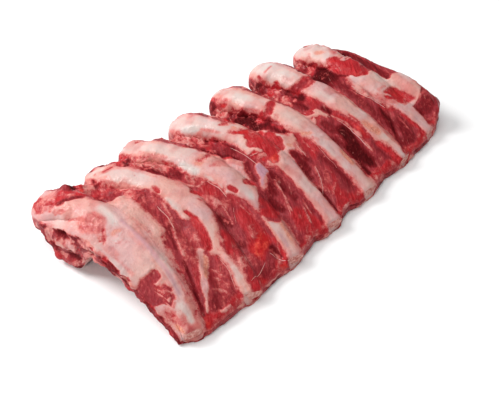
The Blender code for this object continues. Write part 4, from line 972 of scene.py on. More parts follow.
def tissue_of_top(x, y, z):
    """Shares of the painted qualities at places on the upper side: pale strips on lean, then the strokes,
    then flecks of each tissue in the other near their borders. Behind the crests lies torn lean with shreds
    of fat."""
    place = np.stack([x, y, z], -1) / MM
    fibres = fibre_place(x, y, z)
    torn = smooth(0.55, 0.85, ridges(fibres, (16.0, 7.0, 8.0), 22))
    x, y, behind = slanted(x, y, z)
    along = along_at(x, y)
    number = number_at(x, along)
    place = place + 1.6 * np.stack([noise(place, 7.0, 14), noise(place, 7.0, 15), np.zeros_like(x)], -1)
    fray = noise(place, 7.0, 12) + noise(place, 3.0, 13) * 0.35
    fray = fray + noise(fibres, (12.0, 2.4, 4.0), 31) * 0.35
    low = np.clip(np.floor(number), 0, len(LINES) - 2)
    pace = (line_x(low + 1, along) - line_x(low, along)) / MM
    inside = np.full_like(x, -99.0)
    for strip in PALE_STRIPS:
        shares, lefts, rights = zip(*strip, strict=True)
        left, right = np.interp(along, shares, lefts), np.interp(along, shares, rights)
        inside = np.maximum(inside, np.minimum(number - left, right - number) * pace)
    inside = inside + fray * 1.1
    groove = 1.0 - smooth(0.34, 0.50, along)
    on_head = (1.0 - smooth(0.30, 0.42, along)) * smooth(1.3, 1.6, number)
    in_front = smooth(0.58, 0.70, along)
    soft = blend(1.2, 4.2, smooth(-0.4, 0.5, noise(place, 17.0, 29)))
    # Pearly gristle and painted sheen: its whitest patches on the strips stand in for wet glints.
    pearl_and_sheen = smooth(1.5, 8.0, inside + 2.5 * noise(place, 9.0, 27))
    # The extra share in front is painted light on strips that face away from the light.
    pearl_and_sheen = pearl_and_sheen * blend(0.26 + 0.16 * in_front, 0.60, on_head)
    pearl_and_sheen_patches = 0.55 * smooth(0.0, 0.6, noise(place, 18.0, 33)) * smooth(0.0, 3.0, inside)
    # A rosy fringe inside each strip's borders: the thinning skin's own colour, and painted shade on the
    # strip's rounded sides.
    rosy_rim_and_shade = 0.5 * smooth(4.5, 0.0, inside) * smooth(-0.6, 0.4, noise(place, 12.0, 30))
    rosy_patches = 0.45 * smooth(0.1, 0.7, noise(place, 11.0, 35)) * (1.0 - 0.7 * in_front)
    bright = 0.35 * smooth(0.0, 0.6, noise(fibres, (22.0, 6.0, 9.0), 25))
    rim = 0.32 * smooth(0.955, 0.985, along) * smooth(-0.3, 0.5, noise(place, 6.0, 32))
    cover = np.maximum(smooth(-soft, soft + 0.4, inside), groove * torn * 0.5)
    state = np.zeros((*x.shape, PAINTED))
    state[..., COVER] = np.maximum(cover, rim)
    state[..., PEARL_AND_SHEEN] = np.maximum(pearl_and_sheen, pearl_and_sheen_patches)
    state[..., ROSY] = np.maximum(rosy_rim_and_shade, rosy_patches)
    # Lean is darker between the heads: partly the torn meat's own colour, partly painted shade in the
    # grooves.
    state[..., DARK] = 0.12 + 0.22 * groove + 0.25 * noise(fibres, (34.0, 7.0, 12.0), 24)
    state[..., DARK] *= 1.0 - state[..., COVER]
    state[..., BRIGHT] = bright + 0.5 * smooth(0.95, 0.99, along)
    state = paint(x, y, np.clip(state, 0.0, 1.0), fray)
    red = smooth(-0.2, 0.6, noise(place, 8.0, 28))
    shreds = [torn * 0.75, torn * 0.1, torn * 0.3, torn * 0.3, (0.55 - 0.3 * red) * (1.0 - torn), red * 0.6]
    state = blend(state, np.stack(shreds, -1), (behind * (0.75 + 0.25 * groove))[..., None])

    cover = state[..., COVER]
    near_border = np.clip(1.0 - np.abs(inside - 0.5) / 6.0, 0.0, 1.0)
    raw = smooth(0.28, 0.62, rough(place, (8.0, 12.0, 8.0), 34, 2)) * (0.12 + 0.88 * near_border)
    raw = raw * smooth(0.2, 0.8, cover)
    specks = smooth(0.40, 0.66, rough(fibres, (12.0, 2.6, 4.0), 36)) * (0.04 + 0.50 * near_border)
    veil = smooth(0.10, 0.70, noise(fibres, (26.0, 6.0, 8.0), 38)) * 0.22
    lean = 1.0 - smooth(0.2, 0.8, cover)
    fat_in_lean = lean * (1.0 - 0.8 * state[..., DARK]) * np.maximum(specks * 0.55, veil)
    state[..., COVER] = cover - 0.5 * raw * (1.0 - state[..., PEARL_AND_SHEEN]) + fat_in_lean
    state[..., ROSY] += 0.35 * raw
    return np.clip(state, 0.0, 1.0)


def relief_of_top(x, y, state):
    """Height of the small forms of the upper side: swellings, fibre bundles on the lean, torn tissue in the
    grooves between the heads, lumps and folds of the pale skin, and hollows where the lean is darkest."""
    along = along_at(x, y)
    number = number_at(x, along)
    place = np.stack([x, y, np.zeros_like(x)], -1) / MM
    warped = place + 1.8 * np.stack([noise(place, 8.0, 16), noise(place, 8.0, 17), np.zeros_like(x)], -1)
    fibres = fibre_place(x, y, np.zeros_like(x))
    cover, fat, dark = state[..., COVER], state[..., FAT], state[..., DARK]
    lean = 1.0 - cover
    gap = np.abs(number - np.round(number)) * 2.0
    groove = (1.0 - smooth(0.34, 0.50, along)) * smooth(0.25, 0.55, gap)
    height = np.zeros_like(x)
    for number_there, along_there, half_width, half_length, turn, rise in SWELLINGS:
        away = from_patch(x, y, number_there, along_there, half_width, half_length, turn)
        height = height + rise * np.exp(-(away**2))
    bundles = (ridges(fibres, (50.0, 5.5, 20.0), 41) - 0.5) * 0.6
    bundles = bundles + noise(fibres, (20.0, 2.4, 9.0), 42) * 0.22
    torn = rough(warped, (7.0, 9.0, 7.0), 43) * 2.4 + (ridges(warped, 5.0, 45) - 0.5) * 1.2
    folds = (ridges(warped, (12.0, 20.0, 12.0), 49) - 0.5) * 0.4
    lumps = (rough(warped, 9.0, 47) * 0.45 + folds) * blend(1.0, 0.35, cover * (along < 0.45))
    lumps = lumps + noise(place, 2.6, 48) * 0.06
    grains = noise(place, 2.0, 51) * 0.35 * smooth(0.3, 0.8, fat)
    height = height + lean * (1.0 - groove) * bundles * smooth(0.30, 0.5, along)
    height = height + groove * torn * (1.0 - 0.6 * cover)
    height = height + (1.0 - groove) * lumps + smooth(0.15, 0.85, cover) * 0.6 + grains
    return (height - 0.9 * dark * lean) * MM


def join_width(along):
    """Width of the rounding where the meat runs up to a bone: 4 mm at the heads and 1.6 mm in front."""
    return blend(4.0, 1.6, smooth(0.2, 0.5, along)) * MM


def top_skin(x, y):
    """Height of the upper side: the soft maximum of meat and bones, with the relief on it.

    Returns the height, how far the bone's top stands over the meat, the bone's bottom, and the tissue.
    """
    along = along_at(x, y)
    number = number_at(x, along)
    meat = meat_height(number, x, along)
    top, bottom = bones_over(x, y)
    height = soft_max(meat, top, join_width(along))
    state = tissue_of_top(x, y, height)
    return under_crown(height + relief_of_top(x, y, state)), top - meat, bottom, state


# ---- meshes ----
def solid_piece(name, points, faces, values, finish, nodes=()):
    """One closed mesh object. Its faces are turned outwards where its volume comes out negative, and it
    carries the tissue as two colour attributes and the fibre places as a vector attribute."""
    corners = [points[[face[corner] for face in faces]] for corner in range(3)]
    volume = np.einsum("ij,ij->i", corners[0], np.cross(corners[1], corners[2])).sum()
    if volume < 0.0:
        faces = [face[::-1] for face in faces]
    mesh = bpy.data.meshes.new(name)
    mesh.from_pydata((points - CENTRE).tolist(), [], faces)
    state, fibres = values
    for label, qualities in (("covering", [COVER, PEARL_AND_SHEEN, FAT, ROSY]), ("lean", [DARK, BRIGHT, SAWN, SAWN])):
        layer = mesh.attributes.new(label, "FLOAT_COLOR", "POINT")
        layer.data.foreach_set("color", state[:, qualities].astype(np.float32).ravel())
    layer = mesh.attributes.new("fibres", "FLOAT_VECTOR", "POINT")
    layer.data.foreach_set("vector", fibres.astype(np.float32).ravel())
    mesh.materials.append(finish)
    mesh.shade_smooth()
    mesh.update()
    piece = bpy.data.objects.new(name, mesh)
    bpy.context.scene.collection.objects.link(piece)
    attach(piece, "root")
    if nodes:
        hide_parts(*nodes)


def grid_faces(rings, around):
    """Quads between rings of points that close on themselves, numbered ring by ring."""
    ring, point = np.meshgrid(np.arange(rings - 1), np.arange(around), indexing="ij")
    after = (point + 1) % around
    here, beyond = ring * around, (ring + 1) * around
    return np.stack([here + point, here + after, beyond + after, beyond + point], -1).reshape(-1, 4)


def meat_columns():
    """Rib numbers of the meat's sections, close together in the gaps and wide apart under the bones."""
    last = len(LINES) - 1.0
    fine = np.linspace(0.0, last, 4001)
    under_bone = (np.abs(fine - np.round(fine)) < 0.17) & (fine > 0.5) & (fine < last - 0.5)
    pace = np.gradient(line_x(fine, np.full_like(fine, 0.6)), fine) * np.where(under_bone, 0.42, 1.0)
    way = np.concatenate([[0.0], np.cumsum((pace[1:] + pace[:-1]) / 2.0)])
    return np.interp(np.linspace(0.0, way[-1], MEAT_COLUMNS), way, fine)


def meat_top(number, back, front):
    """The upper side of the meat from the back edge to the sawn edge: the shared skin, rounded off at both
    edges and sinking under each bone, with its tissue."""
    along = blend(back, front, np.linspace(0.0, 1.0, TOP_ROWS)[None])
    x = line_x(number, along)
    y = depth_of(x, along)
    height, over, bottom, state = top_skin(x, y)
    under = underside(x, along)
    bed = np.maximum(bottom - FIT_GAP, under + 1.2 * MM)
    z = height - SINK * smooth(-0.5, 0.3, over / MM)
    z = blend(z, np.minimum(bed, z), smooth(1.2, 2.6, over / MM))
    for edge, radius in ((front, 3.0), (back, 3.5)):
        from_edge = np.clip(1.0 - np.abs(along - edge) * RACK_DEPTH / (radius * MM), 0.0, 1.0)
        z = z - radius * MM * (1.0 - np.sqrt(1.0 - from_edge**2)) * 0.8
    return np.stack([x, y, np.maximum(z, under + 0.8 * MM)], -1), state


def meat_under(number, front):
    """The hollow side from the sawn edge back to the foot: the underside, hollowed between the bones, and the
    uneven sole."""
    foot = (HEAD_TIP_Y - FOOT_Y[0]) / RACK_DEPTH
    along = blend(front, np.full_like(number, foot), np.linspace(0.0, 1.0, UNDER_ROWS)[None])
    x = line_x(number, along)
    y = depth_of(x, along)
    z = underside(x, along)
    place = np.stack([x, y, z], -1) / MM
    between = 1.0 - np.cos(math.pi * (number - np.round(number))) ** 2
    clear = smooth(0.5, 6.0, z / MM)
    z = z + clear * (between * 1.5 + rough(place, 12.0, 55) * 0.5) * MM
    sole = (1.0 - clear) * np.clip(noise(place, 7.0, 56), 0.0, 1.0) * 0.5 * MM
    return np.stack([x, y, np.maximum(z, 0.0) + sole], -1)


def rows_between(start, end, rows):
    """Straight rows of points between two edges, and a half sine that runs from edge to edge."""
    share = np.linspace(0.0, 1.0, rows + 2)[None, 1:-1, None]
    return blend(start, end, share), np.sin(math.pi * share[..., 0])


def meat_front(top, under):
    """The sawn front, from the top's edge down to the floor: a low bulge with shallow noise on it."""
    front, arch = rows_between(top[:, -1:], under[:, :1], FRONT_ROWS)
    bulge = 1.3 * arch + 0.9 * rough(front / MM, 5.0, 57)
    front[..., 1] -= (bulge - 0.5) * MM * arch**0.5
    return front


def meat_back(top, under):
    """Behind the foot, from the sole up to the back edge: a bulge of torn muscle, from noise and creases."""
    back, arch = rows_between(under[:, -1:], top[:, :1], BACK_ROWS)
    place = back / MM
    torn = rough(place, (9.0, 9.0, 7.0), 58) * 2.6 + (ridges(place, 6.0, 59) - 0.5) * 1.5
    back[..., 1] += (1.5 * arch + torn) * MM * arch**0.5
    return back


def meat_surface():
    """The slab of meat as sections from left to right, each going over the top, down the front, back along
    the hollow side and up behind the foot. Both ends are rounded by sections that shrink towards their own
    middle line."""
    number = meat_columns()[:, None]
    ragged = rough(np.stack([number * 50.0, number * 0.0, number * 0.0], -1), 9.0, 51)
    edge_numbers, edges = zip(*BACK_EDGE, strict=True)
    back = np.interp(number, edge_numbers, edges) + ragged * 0.010
    numbers, short = zip(*SCALLOPS_MM, strict=True)
    front = 1.0 - (np.interp(number, numbers, short) + ragged * 0.8) * MM / RACK_DEPTH

    top, state = meat_top(number, back, front)
    under = meat_under(number, front)
    sections = np.concatenate([top, meat_front(top, under), under, meat_back(top, under)], 1)
    parts = np.repeat((TOP, FRONT, UNDER, BACK), (TOP_ROWS, FRONT_ROWS, UNDER_ROWS, BACK_ROWS))
    left, right = rounded_end(sections[0], parts, -1.0), rounded_end(sections[-1], parts, 1.0)
    rings = np.concatenate([left[::-1], sections, right])
    around = rings.shape[1]
    faces = [tuple(face) for face in grid_faces(len(rings), around).tolist()]
    faces.append(tuple(range(around))[::-1])
    faces.append(tuple(range(len(rings) * around - around, len(rings) * around)))

    caps = len(CAP_STEPS)
    part = np.broadcast_to(parts[None], rings.shape[:2]).copy()
    part[:caps], part[-caps:] = LEFT_FACE, RIGHT_FACE
    depth = np.zeros(rings.shape[:2])
    depth[:caps], depth[-caps:] = np.array(CAP_STEPS)[::-1, None], np.array(CAP_STEPS)[:, None]
    top_state = np.pad(state, ((caps, caps), (0, around - TOP_ROWS), (0, 0)), mode="edge")
    points = rings.reshape(-1, 3)
    return points, faces, meat_tissue(points, part.ravel(), depth.ravel(), top_state.reshape(-1, PAINTED))


def rounded_end(section, parts, side):
    """Sections beyond an end, shrinking onto the middle line of the last section. The rim turns over in a
    quarter circle, and inside it the face is hollowed and torn by noise and by END_MARKS."""
    y = section[:, 1]
    upper, lower = section[parts == TOP], section[(parts == UNDER) | (parts == BACK)]
    middle_y = np.clip(y, y.min() + 7.0 * MM, y.max() - 9.0 * MM)
    top_x, top_z = (np.interp(-middle_y, -upper[:, 1], upper[:, axis]) for axis in (0, 2))
    middle = np.stack([top_x, middle_y, (top_z + np.interp(middle_y, lower[:, 1], lower[:, 2])) / 2.0], -1)
    rings = []
    for step in CAP_STEPS:
        ring = middle + (section - middle) * (1.0 - step)
        rim = np.sqrt(1.0 - (1.0 - np.clip(step / 0.3, 0.0, 1.0)) ** 2)
        torn = rough(ring / MM, (6.0, 7.0, 6.0), 61) * 2.2 + (ridges(ring / MM, 5.0, 63) - 0.5) * 1.3
        out = 2.8 * rim + torn * smooth(0.0, 0.25, step)
        for mark_side, mark_y, mark_z, half_y, half_z, rise, _, _ in END_MARKS:
            if mark_side == side:
                away = np.hypot((ring[:, 1] / MM - mark_y) / half_y, (ring[:, 2] / MM - mark_z) / half_z)
                out = out + rise * np.exp(-(away**2)) * smooth(0.05, 0.3, step)
        ring[:, 0] += side * out * MM
        rings.append(ring)
    return np.stack(rings)


def meat_tissue(points, part, depth, top_state):
    """Tissue and fibre places of the meat: the top's own, cut muscle with fat in it on the sides, and on
    the hollow side a silvery skin over the bones with muscle showing between."""
    x, y, z = points.T
    along = along_at(x, y)
    number = number_at(x, along)
    place = points / MM
    fibres = fibre_place(x, y, z)
    crossed = fibre_place(x, y, z, -FIBRE_LEAN)
    # A little more fat on the sawn front: painted light on a face that lies in shade.
    fat = smooth(0.18, 0.42, rough(place, (13.0, 13.0, 6.0), 81) + 0.06 * (part == FRONT))
    grain = noise(place, 2.2, 82)
    zero = np.zeros_like(x)
    dark = np.clip(0.36 + 0.30 * noise(place, 9.0, 83) + 0.2 * grain, 0.0, 1.0) * (1.0 - fat)
    bright = smooth(0.2, 0.7, noise(place, 7.0, 84)) * 0.6
    cut = np.stack([fat * 0.85, zero, fat * 0.5, fat * 0.4, dark, bright], -1)
    under_bone = np.cos(math.pi * (number - np.round(number))) ** 2
    bone_band = smooth(0.25, 0.6, under_bone + 0.15 * noise(place, 8.0, 85))
    # A pale sheet on the sawn front: over the bone ends it is the skin's own colour; its thin share over the
    # whole face is painted light on a face in shade.
    sheet = np.array((0.80, 0.10, 0.25, 0.40, 0.00, 0.20))  # the same shares as a row of TISSUES
    sheet_and_painted_light_share = (0.10 + 0.6 * bone_band) * (part == FRONT) * smooth(-0.5, 0.2, noise(place, 8.0, 88))
    cut = blend(cut, sheet, sheet_and_painted_light_share[:, None])
    for mark_side, mark_y, mark_z, half_y, half_z, _, tissue, strength in END_MARKS:
        away = np.hypot((place[:, 1] - mark_y) / half_y, (place[:, 2] - mark_z) / half_z)
        on_face = part == (LEFT_FACE if mark_side < 0 else RIGHT_FACE)
        share = (1.0 - smooth(0.75, 1.15, away + 0.2 * grain)) * strength * on_face
        cut = blend(cut, np.array(TISSUES[tissue]), share[:, None])
    veil = smooth(-0.2, 0.5, rough(crossed, (40.0, 9.0, 20.0), 86))
    cover = np.clip(bone_band * 0.95 + veil * 0.45, 0.0, 1.0)
    dark = 0.30 + 0.2 * noise(crossed, (30.0, 5.0, 9.0), 87)
    inner = [cover, bone_band * 0.25, veil * 0.1, (1.0 - bone_band) * 0.5, dark * (1.0 - cover), zero]
    inner = np.stack(inner, -1)
    ragged = 0.10 * noise(place, 6.0, 89) + 0.05 * noise(place, 2.5, 90)
    on_rim = (part >= LEFT_FACE) * (1.0 - smooth(0.02, 0.16, depth + ragged))
    cut = blend(cut, top_state, (on_rim * (z > END_HEIGHT))[:, None])
    on_top, below = (part == TOP)[:, None], (part == UNDER)[:, None]
    state = np.where(on_top, top_state, np.where(below, inner, cut))
    fibres = np.where(below, crossed, np.where(on_top, fibres, place))
    return np.concatenate([np.clip(state, 0.0, 1.0), zero[:, None]], -1), fibres


def bone_rings(rib):
    """Oval rings of a bone from the rounded tip of its head to the sawn end, with their tissue.

    Knobbly relief pushes the head out along the rings' own directions. The upper side is lifted to the shared
    skin where it meets the meat, and its last stretch is rounded off.
    """
    share = (np.linspace(0.0, 1.0, BONE_RINGS) ** 1.12)[:, None]
    share[0] = 0.0004
    turn = np.linspace(0.0, 2.0 * math.pi, BONE_RING_POINTS, endpoint=False)[None]
    cosine, sine = np.cos(turn), np.sin(turn)
    across, upward = (np.sign(wave) * np.abs(wave) ** (2.0 / BONE_SQUARENESS) for wave in (cosine, sine))
    middle_x, middle_y, ahead_x, ahead_y, _ = bone_line(rib, share)
    half_width, half_height, middle_z = bone_section(rib, share)
    x = middle_x - ahead_y * half_width * across
    y = middle_y + ahead_x * half_width * across
    z = middle_z + half_height * upward
    place = np.stack([x, y, z], -1) / MM + rib * 37.0
    knob = 1.0 - smooth(0.26, 0.42, share)
    low_side = 1.0 - smooth(-0.2, 0.5, sine)
    push = (rough(place, 15.0, 91, 2) * 2.0 + rough(place, 5.0, 93) * 0.5 * low_side) * knob * MM
    push = push * np.sqrt(np.clip(share / 0.03, 0.0, 1.0))
    x = x - ahead_y * push * cosine
    y = y + ahead_x * push * cosine
    z = z + push * sine

    along = along_at(x, y)
    meat = meat_height(number_at(x, along), x, along)
    over = (z - meat) / MM
    bared = smooth(-2.6, -1.2, over)
    skin = soft_max(meat, z, join_width(along))
    meets = bared * smooth(-0.3, 0.0, upward)
    state = tissue_of_top(x, y, blend(z, skin, meets))
    relief = relief_of_top(x, y, state)
    skin = skin + relief - SINK * smooth(0.3, -0.5, over)
    z = under_crown(blend(z + relief * smooth(-0.1, 0.3, upward) * bared, skin, meets))
    from_end = np.clip(1.0 - (1.0 - share) * RACK_DEPTH / SAWN_ROUNDING, 0.0, 1.0)
    z = z - SAWN_ROUNDING * (1.0 - np.sqrt(1.0 - from_end**2)) * 0.5 * smooth(-0.2, 0.6, upward)
    rings = np.stack([x, y, np.maximum(z, 0.3 * MM)], -1)
    return rings, flank_tissue(rings, state, share, upward, smooth(-0.2, 0.6, cosine))


def flank_tissue(rings, state, share, upward, to_right):
    """Tissue of a bone: the top's own above, and ragged muscle that clings to the flanks and below."""
    place = rings / MM
    torn = rough(place, (9.0, 9.0, 6.0), 99)
    knob = 1.0 - smooth(0.30, 0.45, share)
    edge = -0.45 + knob * (0.55 * to_right - 0.20) + 0.30 * torn
    below = 1.0 - smooth(edge - 0.12, edge + 0.12, upward)
    fat = smooth(0.30, 0.6, rough(place, 7.0, 101))
    dark = np.clip(0.55 + 0.3 * torn, 0.0, 1.0) * (1.0 - fat)
    bright = smooth(0.1, 0.6, noise(place, 6.0, 103)) * 0.6
    clinging = np.stack([fat * 0.6, fat * 0.0, fat * 0.3, fat * 0.3, dark, bright], -1)
    return blend(state, clinging, below[..., None])


def bone_piece(rib):
    """A whole bone: its rings, closed at the head by a tip and at the sawn end by rings that shrink to a sunk
    centre. The sawn face is roughened by fine noise."""
    rings, skin_state = bone_rings(rib)
    around = BONE_RING_POINTS
    tip, centre = rings[0].mean(axis=0), rings[-1].mean(axis=0)
    shrink = np.linspace(1.0, 0.0, SAWN_RINGS + 1)[1:-1, None, None]
    sawn = centre + (rings[-1] - centre) * shrink
    sawn[..., 1] -= (0.25 + 0.25 * noise(sawn / MM, 1.6, 95)) * MM
    sunk_centre = centre - (0.0, 0.3 * MM, 0.0)
    points = np.concatenate([rings.reshape(-1, 3), sawn.reshape(-1, 3), [tip], [sunk_centre]])
    count = len(rings) + len(sawn)
    faces = [tuple(face) for face in grid_faces(count, around).tolist()]
    tip_point, centre_point, last_ring = count * around, count * around + 1, (count - 1) * around
    faces += [(tip_point, (n + 1) % around, n) for n in range(around)]
    faces += [(centre_point, last_ring + n, last_ring + (n + 1) % around) for n in range(around)]

    skin_points = len(rings) * around
    state = np.zeros((len(points), PAINTED + 1))
    state[:skin_points, :PAINTED] = skin_state.reshape(-1, PAINTED)
    state[skin_points:, COVER] = 0.5 + 0.5 * noise(points[skin_points:] / MM, 2.0, 97)
    state[skin_points:, DARK] = 0.3
    state[skin_points:, SAWN] = 1.0
    state[tip_point] = state[0]
    return points, faces, (state, fibre_place(*points.T))


def strand_pieces(name, rows, finish, flatness):
    """Strands that lie on the upper side: each is an oval tube along a smoothed line through its points,
    thinning to closed ends, half sunk in the skin. The line is a running mean of the straight stretches."""
    points, faces, states = [], [], []
    around, steps = STRAND_RING_POINTS, STRAND_RINGS
    shifts = np.array((-0.09, -0.03, 0.03, 0.09))
    way = np.linspace(0.0, 1.0, steps)
    ways = np.clip(way + shifts[:, None], 0.0, 1.0)
    turn = np.linspace(0.0, 2.0 * math.pi, around, endpoint=False)
    for row, (line, width, tissue) in enumerate(rows):
        marks = np.linspace(0.0, 1.0, len(line))
        columns = zip(*line, strict=True)
        numbers, alongs = (np.interp(ways, marks, column).mean(axis=0) for column in columns)
        x = line_x(numbers, alongs)
        y = depth_of(x, alongs)
        place = np.stack([x, y, x * 0.0], -1) / MM
        x = x + noise(place + row * 11.0, 7.0, 111) * 0.5 * MM
        z = top_skin(x, y)[0]
        centre = np.stack([x, y, z], -1)
        ahead = np.gradient(centre, axis=0)
        ahead /= np.linalg.norm(ahead, axis=1)[:, None]
        aside = np.cross(ahead, (0.0, 0.0, 1.0))
        aside /= np.linalg.norm(aside, axis=1)[:, None]
        up = np.cross(aside, ahead)
        thin = np.sqrt(np.clip(np.minimum(way, 1.0 - way) / 0.16, 0.02, 1.0))
        half = width / 3.2 * MM * thin * (1.0 + 0.35 * noise(place + row * 7.0, 5.0, 113))
        ring = (
            centre[:, None]
            + aside[:, None] * half[:, None, None] * np.cos(turn)[None, :, None]
            + up[:, None] * half[:, None, None] * (flatness * np.sin(turn) - 0.05)[None, :, None]
        )
        points.append(ring.reshape(-1, 3))
        offset = row * steps * around
        faces += [tuple(face) for face in (grid_faces(steps, around) + offset).tolist()]
        faces.append(tuple(offset + n for n in range(around))[::-1])
        faces.append(tuple(offset + (steps - 1) * around + n for n in range(around)))
        states.append(np.tile(np.array([*TISSUES[tissue], 0.0]), (steps * around, 1)))
    points, states = np.concatenate(points), np.concatenate(states)
    solid_piece(name, points, faces, (states, fibre_place(*points.T)), finish)


# ---- materials ----
def colour(code):
    """Linear red, green, blue and alpha of an sRGB hex colour."""
    levels = [int(code[n : n + 2], 16) / 255.0 for n in (1, 3, 5)]
    return (*(v / 12.92 if v <= 0.04045 else ((v + 0.055) / 1.055) ** 2.4 for v in levels), 1.0)


def add(tree, kind, inputs, output=0, **settings):
    """Adds a shader node with its settings and gives back one of its outputs. Inputs are named or numbered,
    and each is an output to link or a plain value."""
    node = tree.nodes.new("ShaderNode" + kind)
    for name, setting in settings.items():
        setattr(node, name, setting)
    for name, value in inputs.items():
        if isinstance(value, bpy.types.NodeSocket):
            tree.links.new(value, node.inputs[name])
        else:
            node.inputs[name].default_value = value
    return node.outputs[output]


def wet_tissue(name, relief, coat):
    """Raw beef, freshly cut and wet: lean muscle, and fascia, fat and gristle over it, by the piece's
    attributes.

    The lean and the covering are each built up in layers, one colour at a time. Fine noise frays the border
    between them, and where the covering is thin the two mix to a rosy red.
    """
    finish = bpy.data.materials.new(name)
    finish.use_nodes = True
    tree = finish.node_tree
    shader = tree.nodes["Principled BSDF"]
    ramp = {"interpolation_type": "SMOOTHSTEP"}

    covering = add(tree, "Attribute", {}, 0, attribute_name="covering")
    rosy = add(tree, "Attribute", {}, 3, attribute_name="covering")
    lean = add(tree, "Attribute", {}, 0, attribute_name="lean")
    fibres = add(tree, "Attribute", {}, 1, attribute_name="fibres")
    cover, pearl_and_sheen, fat = (add(tree, "SeparateColor", {0: covering}, n) for n in range(3))
    dark, bright, sawn = (add(tree, "SeparateColor", {0: lean}, n) for n in range(3))
    place = add(tree, "TexCoord", {}, 3)

    # fibre bundles about 1.2 mm thick and 14 mm long; single fibres are finer than the picture shows
    stretched = add(tree, "VectorMath", {0: fibres, 1: (0.07, 0.80, 0.50)}, operation="MULTIPLY")
    threads = add(tree, "TexNoise", {"Vector": stretched, "Scale": 1.0, "Detail": 3.0, "Roughness": 0.6})
    # long streaks 3 mm apart, where one bundle lies paler or darker than the next
    streaked = add(tree, "VectorMath", {0: fibres, 1: (0.025, 0.33, 0.25)}, operation="MULTIPLY")
    streaks = add(tree, "TexNoise", {"Vector": streaked, "Scale": 1.0, "Detail": 4.0, "Roughness": 0.65})
    # patches of 30 mm, mottling of 14 mm, 6 mm and 2.5 mm, and grain of 1.2 mm across
    broad, blotch, mottle, fleck, grain = (
        add(tree, "TexNoise", {"Vector": place, "Scale": scale, "Detail": detail, "Roughness": 0.6})
        for scale, detail in ((33.0, 2.0), (70.0, 4.0), (160.0, 3.0), (400.0, 3.0), (800.0, 2.0))
    )

    def layered(base, rows):
        """Lays colours over a base, each where its share, taken between two levels and scaled, says."""
        for value, low, high, strength, over in rows:
            share = add(tree, "MapRange", {0: value, 1: low, 2: high, 4: strength}, **ramp)
            base = add(tree, "Mix", {0: share, 6: base, 7: over}, 2, data_type="RGBA")
        return base

    # each row of a tone: what it follows, the two levels it changes between, how strongly, and its colour
    # the darkest meat, which is also painted shade in crevices and hollows
    deep_tone = layered(colour("#460307"), ((threads, 0.42, 0.75, 1.0, colour("#5E0910")),))
    maroon_tone = layered(colour("#680C14"), ((threads, 0.38, 0.70, 1.0, colour("#80181F")),))
    # bright red meat; its lighter mottling is painted highlight
    glow_and_highlight_tone = layered(colour("#BC1E20"), ((mottle, 0.40, 0.65, 1.0, colour("#E25040")),))
    red_tone = layered(
        colour("#A4181F"),
        (
            (threads, 0.36, 0.70, 1.0, colour("#C02E33")),
            (bright, 0.6, 1.0, 1.0, glow_and_highlight_tone),
        ),
    )
    lean_tone = layered(
        colour("#8C242C"),
        (
            (threads, 0.36, 0.70, 1.0, colour("#A6383E")),
            (streaks, 0.54, 0.68, 0.50, colour("#B8544F")),
            (fleck, 0.60, 0.74, 0.2, colour("#B83A3C")),
            (bright, 0.0, 0.6, 1.0, red_tone),
            (dark, 0.15, 0.60, 1.0, maroon_tone),
            (dark, 0.58, 1.0, 1.0, deep_tone),
            (streaks, 0.63, 0.72, 0.45, colour("#CC7C74")),
        ),
    )
    fat_tone = layered(colour("#C8664E"), ((grain, 0.30, 0.78, 1.0, colour("#DEA088")),))
    rosy_tone = layered(colour("#AC3338"), ((mottle, 0.36, 0.66, 1.0, colour("#CC7068")),))
    skin_tone = layered(
        colour("#CF8A83"),
        (
            (blotch, 0.40, 0.62, 1.0, colour("#DCA098")),
            (broad, 0.46, 0.62, 0.45, colour("#C49A9E")),
            (broad, 0.50, 0.36, 0.55, colour("#D2998A")),
            (mottle, 0.54, 0.70, 0.50, colour("#C47472")),
            (streaks, 0.60, 0.76, 0.25, colour("#DCB8AE")),
            (fleck, 0.64, 0.76, 0.35, colour("#BE6060")),
            (grain, 0.60, 0.78, 0.20, colour("#E0BCA0")),
            # pearly grey-white: the gristle's own colour, and painted sheen where it lies thickest
            (pearl_and_sheen, 0.0, 1.0, 0.92, colour("#CABEB8")),
            (fat, 0.1, 0.9, 0.85, fat_tone),
            (rosy, 0.0, 1.0, 0.9, rosy_tone),
            (dark, 0.0, 0.9, 0.9, colour("#B08090")),
        ),
    )
    thin_tone = layered(
        colour("#A2282E"),
        (
            (mottle, 0.38, 0.64, 0.8, colour("#C25250")),
            (fleck, 0.50, 0.70, 0.4, colour("#CC6C66")),
        ),
    )
    rose_tone = layered(
        colour("#BE5E5C"),
        (
            (mottle, 0.36, 0.64, 0.8, colour("#D08078")),
            (grain, 0.50, 0.70, 0.5, colour("#DC9C90")),
        ),
    )
    # how thick the covering lies, made uneven by every pattern in turn
    thickness = cover
    for value, amount in ((mottle, 0.75), (fleck, 0.40), (threads, 0.26), (grain, 0.15)):
        uneven = add(tree, "Math", {0: value, 1: 0.5}, operation="SUBTRACT")
        thickness = add(tree, "Math", {0: uneven, 1: amount, 2: thickness}, operation="MULTIPLY_ADD")
    surface = layered(
        lean_tone,
        (
            (thickness, 0.08, 0.36, 1.0, thin_tone),
            (thickness, 0.30, 0.60, 1.0, rose_tone),
            (thickness, 0.50, 0.92, 1.0, skin_tone),
        ),
    )
    marrow = layered(colour("#BC6A60"), ((fleck, 0.35, 0.65, 1.0, colour("#E0ACA0")),))
    surface = layered(surface, ((sawn, 0.0, 1.0, 0.8, marrow),))
    tree.links.new(surface, shader.inputs["Base Color"])

